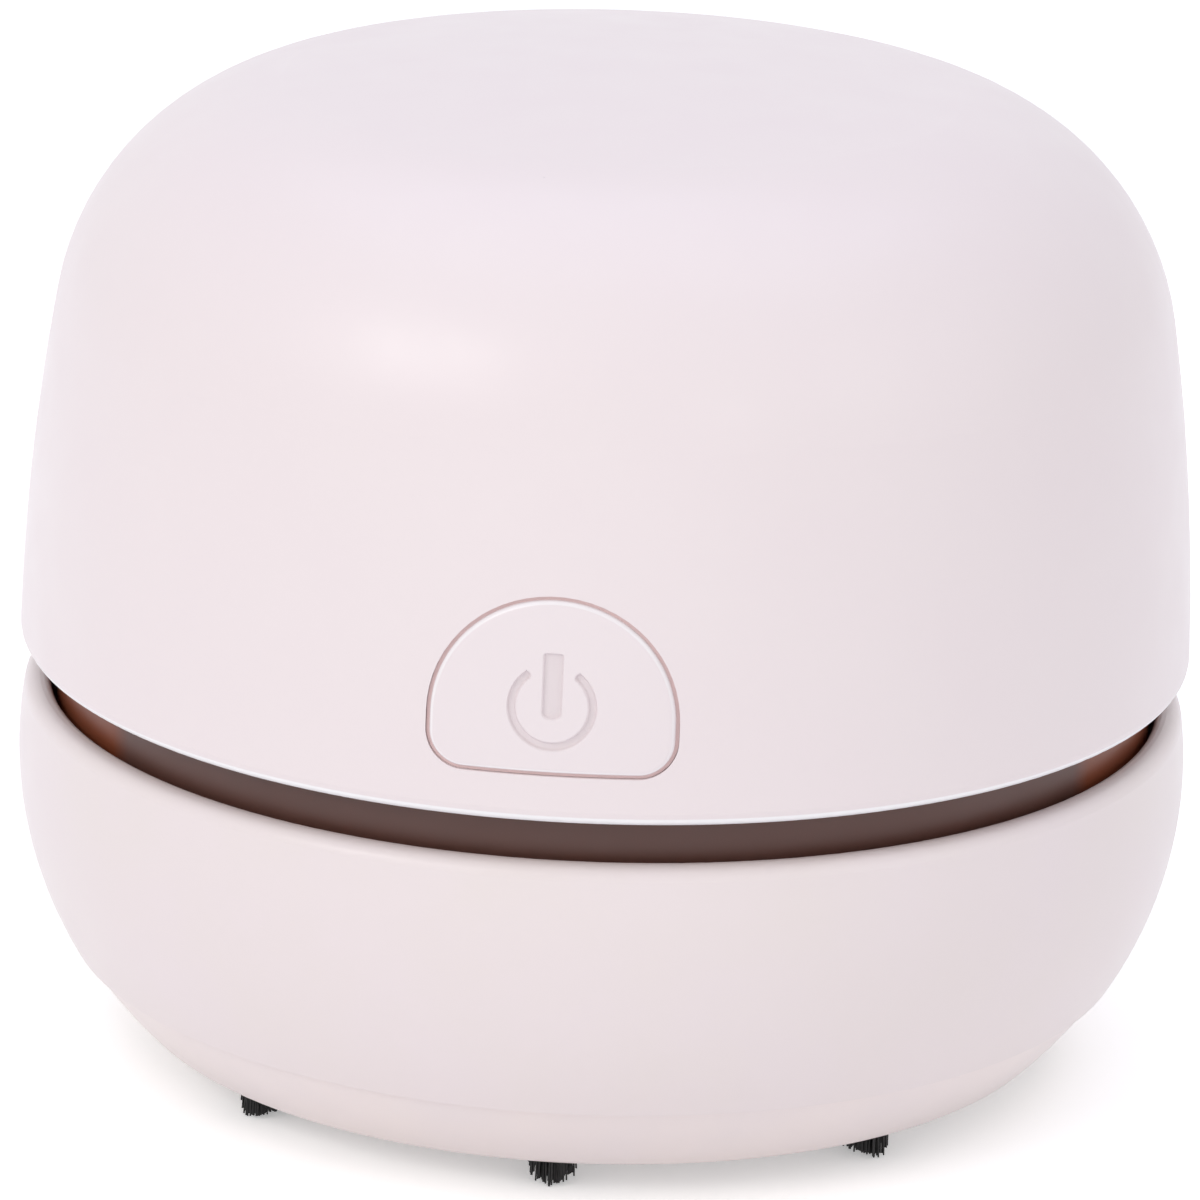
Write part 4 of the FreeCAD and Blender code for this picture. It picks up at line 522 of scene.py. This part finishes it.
class CrumbVacuumStage(PropertyGroup):
    """The camera, the floor and the lamps"""
    distance: FloatProperty(
        name="Camera distance", description="From the camera to the vacuum's middle",
        default=500 * MM, min=0.2, max=2.0, unit="LENGTH")
    azimuth: FloatProperty(
        name="Camera azimuth", description="Turn of the camera about the vacuum",
        default=math.radians(4.6), subtype="ANGLE")
    elevation: FloatProperty(
        name="Camera elevation", description="Height of the camera as an angle",
        default=math.radians(17.5), subtype="ANGLE")
    roll: FloatProperty(
        name="Camera roll", description="Turn of the camera about its own axis",
        default=math.radians(2.0), subtype="ANGLE")
    lens: FloatProperty(
        name="Lens", description="Focal length in millimetres", default=208.6, min=20, max=400,
        unit="CAMERA")
    aim_height: FloatProperty(
        name="Aim height", description="Height of the point that the camera looks at",
        default=32.5 * MM, unit="LENGTH")
    floor: FloatVectorProperty(
        name="Floor", description="Colour of the floor", subtype="COLOR", size=3, min=0, max=1,
        default=paint(250, 250, 250))
    sky: FloatProperty(
        name="Room light", description="Strength of the light from all around", default=0.62, min=0, max=2)
    key: FloatProperty(
        name="Key light", description="Power of the large soft lamp at the front left", default=1.98,
        min=0, unit="POWER")
    fill: FloatProperty(
        name="Fill light", description="Power of the soft lamp at the right", default=0.67, min=0,
        unit="POWER")
    low: FloatProperty(
        name="Low light", description="Power of the low strip in front", default=0.33, min=0, unit="POWER")
    top: FloatProperty(
        name="Top light", description="Power of the cool lamp overhead", default=2.3, min=0, unit="POWER")
    spark: FloatProperty(
        name="Spark light", description="Power of the small lamp at the front right", default=0.15, min=0,
        unit="POWER")


# ---------------------------------------------------------------- operators

class CRUMBVACUUM_OT_finishes(Operator):
    """Make the procedural materials for the slots of the record"""
    bl_idname = "crumb_vacuum.finishes"
    bl_label = "Finishes"

    def execute(self, context):
        make_finishes(context.scene.crumb_vacuum_colours)
        return {"FINISHED"}


class CRUMBVACUUM_OT_housing(Operator):
    """Finish the upper shell, the lower shell and the base plate with its screws"""
    bl_idname = "crumb_vacuum.housing"
    bl_label = "Housing"

    def execute(self, context):
        dress("lower_shell", "base_screws")
        dress("upper_shell", slot="pink_dome")
        dress("base_plate", slot="pink_base")
        return {"FINISHED"}


class CRUMBVACUUM_OT_dust_cup(Operator):
    """Finish the smoked cup, the inlet tube and the filter above them"""
    bl_idname = "crumb_vacuum.dust_cup"
    bl_label = "Dust cup and filter"

    def execute(self, context):
        dress("dust_cup", "seal_ring", "filter_frame", "filter_disc")
        dress("inlet_tube", slot="smoked_tube")
        return {"FINISHED"}


def button_ring(size, inset):
    """The button's outline in X and Z, moved inwards by inset, as an arch on a straight foot."""
    half, corner = size.half_width - inset, size.corner - inset
    corner_z, corner_x = size.low + size.corner, size.half_width - size.corner
    quarter = TURN / 4
    arch_steps, side_steps, corner_steps, foot_steps = 220, 8, 56, 100
    points = []

    def sweep(centre_x, centre_z, radius, start, stop, count):
        for step in range(count):
            angle = start + (stop - start) * step / count
            points.append((centre_x + radius * math.cos(angle), centre_z + radius * math.sin(angle)))

    def run(start, stop, count):
        for step in range(count):
            share = step / count
            points.append(tuple(a + (b - a) * share for a, b in zip(start, stop)))

    sweep(0, size.arch, half, 0, 2 * quarter, arch_steps)
    run((-half, size.arch), (-half, corner_z), side_steps)
    sweep(-corner_x, corner_z, corner, 2 * quarter, 3 * quarter, corner_steps)
    run((-corner_x, size.low + inset), (corner_x, size.low + inset), foot_steps)
    sweep(corner_x, corner_z, corner, 3 * quarter, 4 * quarter, corner_steps)
    run((half, corner_z), (half, size.arch), side_steps)
    return points


def circle_ring(ring, radius, height):
    """The points of a ring drawn on to a circle about a height on the middle line."""
    drawn = []
    for x, z in ring:
        reach = math.hypot(x, z - height)
        drawn.append((x * radius / reach, height + (z - height) * radius / reach))
    return drawn


def at_depth(ring, depth):
    """The points of a ring on the flat that lies depth in front of the axis."""
    return [(x, -depth, z) for x, z in ring]


def on_surface(size, ring, drop):
    """The points of a ring on the shell's surface, moved inwards by drop."""
    placed = []
    for x, z in ring:
        reach = math.sqrt(size.wall_curve ** 2 - (z - size.widest) ** 2) - size.wall_centre - drop
        placed.append((x, -math.sqrt(reach ** 2 - x ** 2), z))
    return placed


def symbol_depth_share(size, x, z):
    """How far inside the power symbol a point is: 1 in the symbol and 0 outside it, soft at its edge."""
    foot_rounding, head_rounding, soft = 0.45 * MM, 0.16 * MM, 0.07 * MM
    up = z - size.symbol_centre
    if up > 0 and abs(x) < size.symbol_opening:
        end = math.sqrt(size.symbol_radius ** 2 - size.symbol_opening ** 2)
        ring = math.hypot(abs(x) - size.symbol_opening, up - end) - size.symbol_line
    else:
        ring = abs(math.hypot(x, up) - size.symbol_radius) - size.symbol_line
    middle, half = (size.bar_high - size.bar_low) / 2, (size.bar_high + size.bar_low) / 2
    rounding = foot_rounding if up < middle else head_rounding
    across, along = abs(x) - size.bar_width + rounding, abs(up - middle) - half + rounding
    bar = math.hypot(max(across, 0), max(along, 0)) + min(max(across, along), 0) - rounding
    share = min(max((soft - min(ring, bar)) / (2 * soft), 0), 1)
    return share * share * (3 - 2 * share)


def back_rings(size, outline):
    """Rings from the end of the stem over the spring's pocket and the flange to the groove's floor."""
    stem, stem_length = 1.6 * MM, 2.8 * MM
    pocket, pocket_depth = 3.4 * MM, 2.4 * MM
    stem_end, pocket_floor = size.back - stem_length, size.back + pocket_depth
    flange = [(x, max(z, size.low)) for x, z in button_ring(size, -size.flange_lip)]
    groove = button_ring(size, -size.groove_fill)
    groove_floor = size.groove_drop - size.proud
    return [
        at_depth(circle_ring(outline, stem / 2, size.axis), stem_end),
        at_depth(circle_ring(outline, stem, size.axis), stem_end),
        at_depth(circle_ring(outline, stem, size.axis), pocket_floor),
        at_depth(circle_ring(outline, pocket, size.axis), pocket_floor),
        at_depth(circle_ring(outline, pocket, size.axis), size.back),
        at_depth(flange, size.back),
        on_surface(size, flange, size.flange_drop),
        on_surface(size, groove, size.flange_drop),
        on_surface(size, groove, groove_floor),
        on_surface(size, outline, groove_floor),
    ]


def edge_rings(size):
    """Rings of the rounding between the button's side and its face."""
    bends = 8
    for step in range(bends + 1):
        angle = TURN / 4 * step / bends
        inset, drop = size.slack + size.edge * (1 - math.cos(angle)), size.edge * (1 - math.sin(angle))
        yield on_surface(size, button_ring(size, inset), drop - size.proud)


def face_rings(size):
    """Rings of the face: bands from its edge to a round hub, then fine rings that sink in the symbol."""
    hub, bands, fine_step = 3.85 * MM, 12, 0.055 * MM
    face_edge = button_ring(size, size.slack + size.edge)
    hub_edge = circle_ring(face_edge, hub, size.symbol_centre)
    for band in range(1, bands + 1):
        share = band / bands
        between = [(a[0] + (b[0] - a[0]) * share, a[1] + (b[1] - a[1]) * share)
                   for a, b in zip(face_edge, hub_edge)]
        yield on_surface(size, between, -size.proud)
    radius = hub - fine_step
    while radius > fine_step:
        ring = on_surface(size, circle_ring(face_edge, radius, size.symbol_centre), -size.proud)
        yield [(x, y + size.recess * symbol_depth_share(size, x, z), z) for x, y, z in ring]
        radius -= fine_step


class CRUMBVACUUM_OT_power_button(Operator):
    """Build the power button with its soft edge, recessed symbol, flange and stem"""
    bl_idname = "crumb_vacuum.power_button"
    bl_label = "Power button"

    def execute(self, context):
        size = context.scene.crumb_vacuum_button
        dress("button_guide")
        outline = button_ring(size, size.slack)
        rings = back_rings(size, outline)
        edge_start, groove_start = len(rings), len(rings) - 3
        rings.extend(edge_rings(size))
        face_start = len(rings)
        rings.extend(face_rings(size))
        count = len(outline)
        vertices = [point for ring in rings for point in ring]
        faces = []
        for ring in range(len(rings) - 1):
            for step in range(count):
                a, b = ring * count + step, ring * count + (step + 1) % count
                faces.append((a, b, b + count, a + count))
        last = (len(rings) - 1) * count
        faces.append(tuple(reversed(range(count))))
        faces.append(tuple(last + step for step in range(count)))
        piece = new_piece("button_cap", vertices, faces, "power_button", "button")
        for slot in ("pink_symbol", "pink_groove", "pink_rim"):
            piece.data.materials.append(finish_for(slot))
        symbol, groove, rim = 1, 2, 3
        plain_bends = 3          # the last bands of the rounding look like the face
        for face in piece.data.polygons:
            band = face.index // count
            x, _, z = face.center
            if band >= face_start and symbol_depth_share(size, x, z) > 0.5:
                face.material_index = symbol
            # the groove's floor and walls get the painted shade
            elif groove_start <= band < groove_start + 2:
                face.material_index = groove
            # the outer bands of the rounded edge get the painted highlight
            elif edge_start <= band < face_start - plain_bends:
                face.material_index = rim
        return {"FINISHED"}


def coil_rings(low, high, wire, turns, steps, sides):
    """Rings of a round wire that winds about Y between two corners; wire is its radius."""
    middle, radius = (low + high) / 2, (high.x - low.x) / 2 - wire
    rise = high.y - low.y - 2 * wire
    for step in range(steps):
        share = step / (steps - 1)
        angle = TURN * turns * share
        out = Vector((math.cos(angle), 0, math.sin(angle)))
        centre = Vector((middle.x, low.y + wire + rise * share, middle.z)) + out * radius
        for side in range(sides):
            around = TURN * side / sides
            yield centre + (out * math.cos(around) - Vector((0, math.sin(around), 0))) * wire


class CRUMBVACUUM_OT_return_spring(Operator):
    """Build the button's return spring as a fixed coil; the real spring shortens as the button goes in"""
    bl_idname = "crumb_vacuum.return_spring"
    bl_label = "Return spring"

    def execute(self, context):
        size = context.scene.crumb_vacuum_button
        low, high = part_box("button_spring")
        steps, sides = 160, 12
        vertices = list(coil_rings(low, high, size.spring_wire, size.spring_turns, steps, sides))
        coil = new_piece("return_spring", vertices, tube_faces(0, steps, sides), "button_spring", "housing")
        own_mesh(coil)
        return {"FINISHED"}


def bristle_rings(foot, tip, lean, radius, sides, rings):
    """Rings of a thin round bar from foot to tip that bends towards lean and tapers to a blunt end."""
    taper = 0.35
    for step in range(rings):
        share = step / (rings - 1)
        centre = foot.lerp(tip, share) + lean * share * share
        width = radius * (1.0 - taper * share)
        for side in range(sides):
            angle = TURN * side / sides
            yield centre + Vector((math.cos(angle), math.sin(angle), 0)) * width


def tuft(brush, low, high, chance):
    """The points and faces of the bristles between two corners, shorter towards the tuft's two flanks."""
    sides, rings = 6, 5
    golden, jitter = 0.381966, 0.2      # turn from one bristle to the next as a share, and play in radians
    foot_share = 0.93                   # the bristles stand closer together at the foot
    least, core_short, flank_short, flank_curve = 0.3, 0.08, 0.92, 1.3
    middle = (low + high) / 2
    reach = (high.x - low.x) / 2 - brush.thickness / 2
    side_way = Vector((-middle.y, middle.x, 0)).normalized()
    vertices, faces = [], []
    for index in range(brush.count):
        distance = reach * math.sqrt((index + 0.5) / brush.count)
        angle = index * TURN * golden + chance.uniform(-jitter, jitter)
        out = Vector((math.cos(angle), math.sin(angle), 0))
        foot = Vector((middle.x, middle.y, high.z)) + out * distance * foot_share
        across = abs(out.dot(side_way)) * distance / reach
        short = brush.spare * chance.uniform(least, 1.0) * (core_short + flank_short * across ** flank_curve)
        tip = Vector((foot.x, foot.y, low.z + short))
        lean = out * chance.uniform(0.0, 1.0) * min(brush.splay, reach - distance * foot_share)
        start = len(vertices)
        vertices.extend(bristle_rings(foot, tip, lean, brush.thickness / 2, sides, rings))
        faces.extend(tube_faces(start, rings, sides))
    return vertices, faces


class CRUMBVACUUM_OT_brush(Operator):
    """Build the bristles of the brush tufts"""
    bl_idname = "crumb_vacuum.brush"
    bl_label = "Brush tufts"

    def execute(self, context):
        names = sorted(name for name in NODES if name.startswith("brush_tuft_"))
        if not names:
            raise RuntimeError("the frame has no brush tuft")
        for name in names:
            low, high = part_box(name)
            vertices, faces = tuft(context.scene.crumb_vacuum_brush, low, high, random.Random(name))
            new_piece(name.replace("brush_tuft", "bristles"), vertices, faces, name, "dust_unit")
        return {"FINISHED"}


class CRUMBVACUUM_OT_works(Operator):
    """Finish the chassis, motor, fan, battery, board, switch and wires inside"""
    bl_idname = "crumb_vacuum.works"
    bl_label = "Inner works"

    def execute(self, context):
        def dressed(node):
            finishes = [slot.material.name for slot in node.material_slots if slot.material]
            return any(name.startswith(FINISH) for name in finishes)

        dress(*[name for name, node in NODES.items() if not node.hide_render and not dressed(node)])
        return {"FINISHED"}


LAMPS = (       # setting, width and height, place and colour
    ("key", (0.5, 0.34), (-0.50, -0.60, 0.55), (1.0, 0.985, 0.955)),
    ("fill", (0.6, 0.6), (0.75, -0.35, 0.35), (1.0, 1.0, 1.0)),
    ("low", (0.9, 0.08), (-0.05, -0.85, 0.05), (1.0, 1.0, 1.0)),
    ("top", (1.1, 0.8), (0.0, 0.15, 0.9), (0.65, 0.72, 1.0)),
    ("spark", (0.14, 0.09), (0.34, -0.72, 0.30), (1.0, 1.0, 1.0)),
)


def lamp(name, power, size, place, aim, colour):
    """A soft lamp of a width and a height at a place, turned to a point."""
    light = bpy.data.lights.new(name, "AREA")
    light.color = colour
    light.shape = "RECTANGLE"
    light.energy = power
    light.size, light.size_y = size
    holder = bpy.data.objects.new(name, light)
    holder.location = place
    holder.rotation_euler = (Vector(aim) - Vector(place)).to_track_quat("-Z", "Y").to_euler()
    bpy.context.scene.collection.objects.link(holder)


class CRUMBVACUUM_OT_stage(Operator):
    """Set up the floor, the room light, five soft lamps and the camera"""
    bl_idname = "crumb_vacuum.stage"
    bl_label = "Stage"

    def execute(self, context):
        scene = context.scene
        stage = scene.crumb_vacuum_stage
        scene.view_settings.view_transform = "Standard"
        self.make_floor(stage)
        self.make_room(scene, stage)
        aim = (0, 0, stage.aim_height)
        for setting, size, place, colour in LAMPS:
            lamp(setting + "_lamp", getattr(stage, setting), size, place, aim, colour)
        scene.camera = self.make_camera(stage, Vector(aim))
        return {"FINISHED"}

    def make_floor(self, stage):
        """A wide disc that shows white to the camera and keeps the shadow."""
        rim, reach, glow = 96, 3.0, 0.36
        ring = [(reach * math.cos(TURN * step / rim), reach * math.sin(TURN * step / rim), 0.0)
                for step in range(rim)]
        mesh = bpy.data.meshes.new("floor")
        mesh.from_pydata(ring, [], [tuple(range(rim))])
        floor = bpy.data.objects.new("floor", mesh)
        bpy.context.scene.collection.objects.link(floor)
        finish, tree, shader = new_finish("floor_paper")
        paper = tint(tree, cloud(tree, size=0.08), stage.floor, paint(248, 248, 248))
        tree.links.new(paper, shader.inputs["Base Color"])
        tree.links.new(seen_directly(tree), shader.inputs["Emission Strength"])
        shader.inputs["Emission Color"].default_value = (glow, glow, glow, 1)
        shader.inputs["Roughness"].default_value = 0.9
        shader.inputs["Specular IOR Level"].default_value = 0.0
        mesh.materials.append(finish)

    def make_room(self, scene, stage):
        """White to the camera, to gloss and through clear plastic, and a plain light for the rest."""
        room = bpy.data.worlds.new("white_room")
        scene.world = room
        room.use_nodes = True
        tree = room.node_tree
        tree.nodes.clear()
        out = tree.nodes.new("ShaderNodeOutputWorld")
        mix = tree.nodes.new("ShaderNodeMixShader")
        for socket, strength in ((mix.inputs[1], stage.sky), (mix.inputs[2], 1.0)):
            light = tree.nodes.new("ShaderNodeBackground")
            light.inputs["Color"].default_value = (1, 1, 1, 1)
            light.inputs["Strength"].default_value = strength
            tree.links.new(light.outputs["Background"], socket)
        tree.links.new(seen_directly(tree), mix.inputs["Fac"])
        tree.links.new(mix.outputs["Shader"], out.inputs["Surface"])

    def make_camera(self, stage, aim):
        """A long lens at the front, a little to the right and above, with a slight roll."""
        camera = bpy.data.objects.new("camera", bpy.data.cameras.new("camera"))
        bpy.context.scene.collection.objects.link(camera)
        flat = math.cos(stage.elevation)
        way = Vector((math.sin(stage.azimuth) * flat, -math.cos(stage.azimuth) * flat,
                      math.sin(stage.elevation)))
        place = aim + stage.distance * way
        turn = (aim - place).to_track_quat("-Z", "Y").to_matrix().to_4x4()
        camera.matrix_world = Matrix.Translation(place) @ turn @ Matrix.Rotation(stage.roll, 4, "Z")
        camera.data.lens = stage.lens
        camera.data.sensor_width = 36.0
        camera.data.shift_x, camera.data.shift_y = -0.00525, 0.0017
        camera.data.clip_start, camera.data.clip_end = 0.01, 20.0
        return camera


# ---------------------------------------------------------------- panel and registration

STEPS = (
    CRUMBVACUUM_OT_stage, CRUMBVACUUM_OT_finishes, CRUMBVACUUM_OT_housing, CRUMBVACUUM_OT_dust_cup,
    CRUMBVACUUM_OT_power_button, CRUMBVACUUM_OT_return_spring, CRUMBVACUUM_OT_brush,
    CRUMBVACUUM_OT_works,
)
SETTINGS = {
    "crumb_vacuum_colours": CrumbVacuumColours,
    "crumb_vacuum_button": CrumbVacuumButton,
    "crumb_vacuum_brush": CrumbVacuumBrush,
    "crumb_vacuum_stage": CrumbVacuumStage,
}


class CRUMBVACUUM_PT_panel(Panel):
    """Lists the steps and the settings"""
    bl_idname = "CRUMBVACUUM_PT_panel"
    bl_label = "Crumb Vacuum"
    bl_space_type = "VIEW_3D"
    bl_region_type = "UI"
    bl_category = "Crumb Vacuum"

    def draw(self, context):
        for step in STEPS:
            self.layout.operator(step.bl_idname)
        for name in SETTINGS:
            box = self.layout.box()
            group = getattr(context.scene, name)
            for key in group.bl_rna.properties.keys():
                if key not in ("rna_type", "name"):
                    box.prop(group, key)


def register():
    for name, group in SETTINGS.items():
        bpy.utils.register_class(group)
        setattr(bpy.types.Scene, name, PointerProperty(type=group))
    for step in STEPS:
        bpy.utils.register_class(step)
    bpy.utils.register_class(CRUMBVACUUM_PT_panel)


def unregister():
    bpy.utils.unregister_class(CRUMBVACUUM_PT_panel)
    for step in reversed(STEPS):
        bpy.utils.unregister_class(step)
    for name, group in SETTINGS.items():
        delattr(bpy.types.Scene, name)
        bpy.utils.unregister_class(group)


def main():
    register()
    for step in STEPS:
        family, action = step.bl_idname.split(".")
        getattr(getattr(bpy.ops, family), action)()


if __name__ == "__main__":
    main()
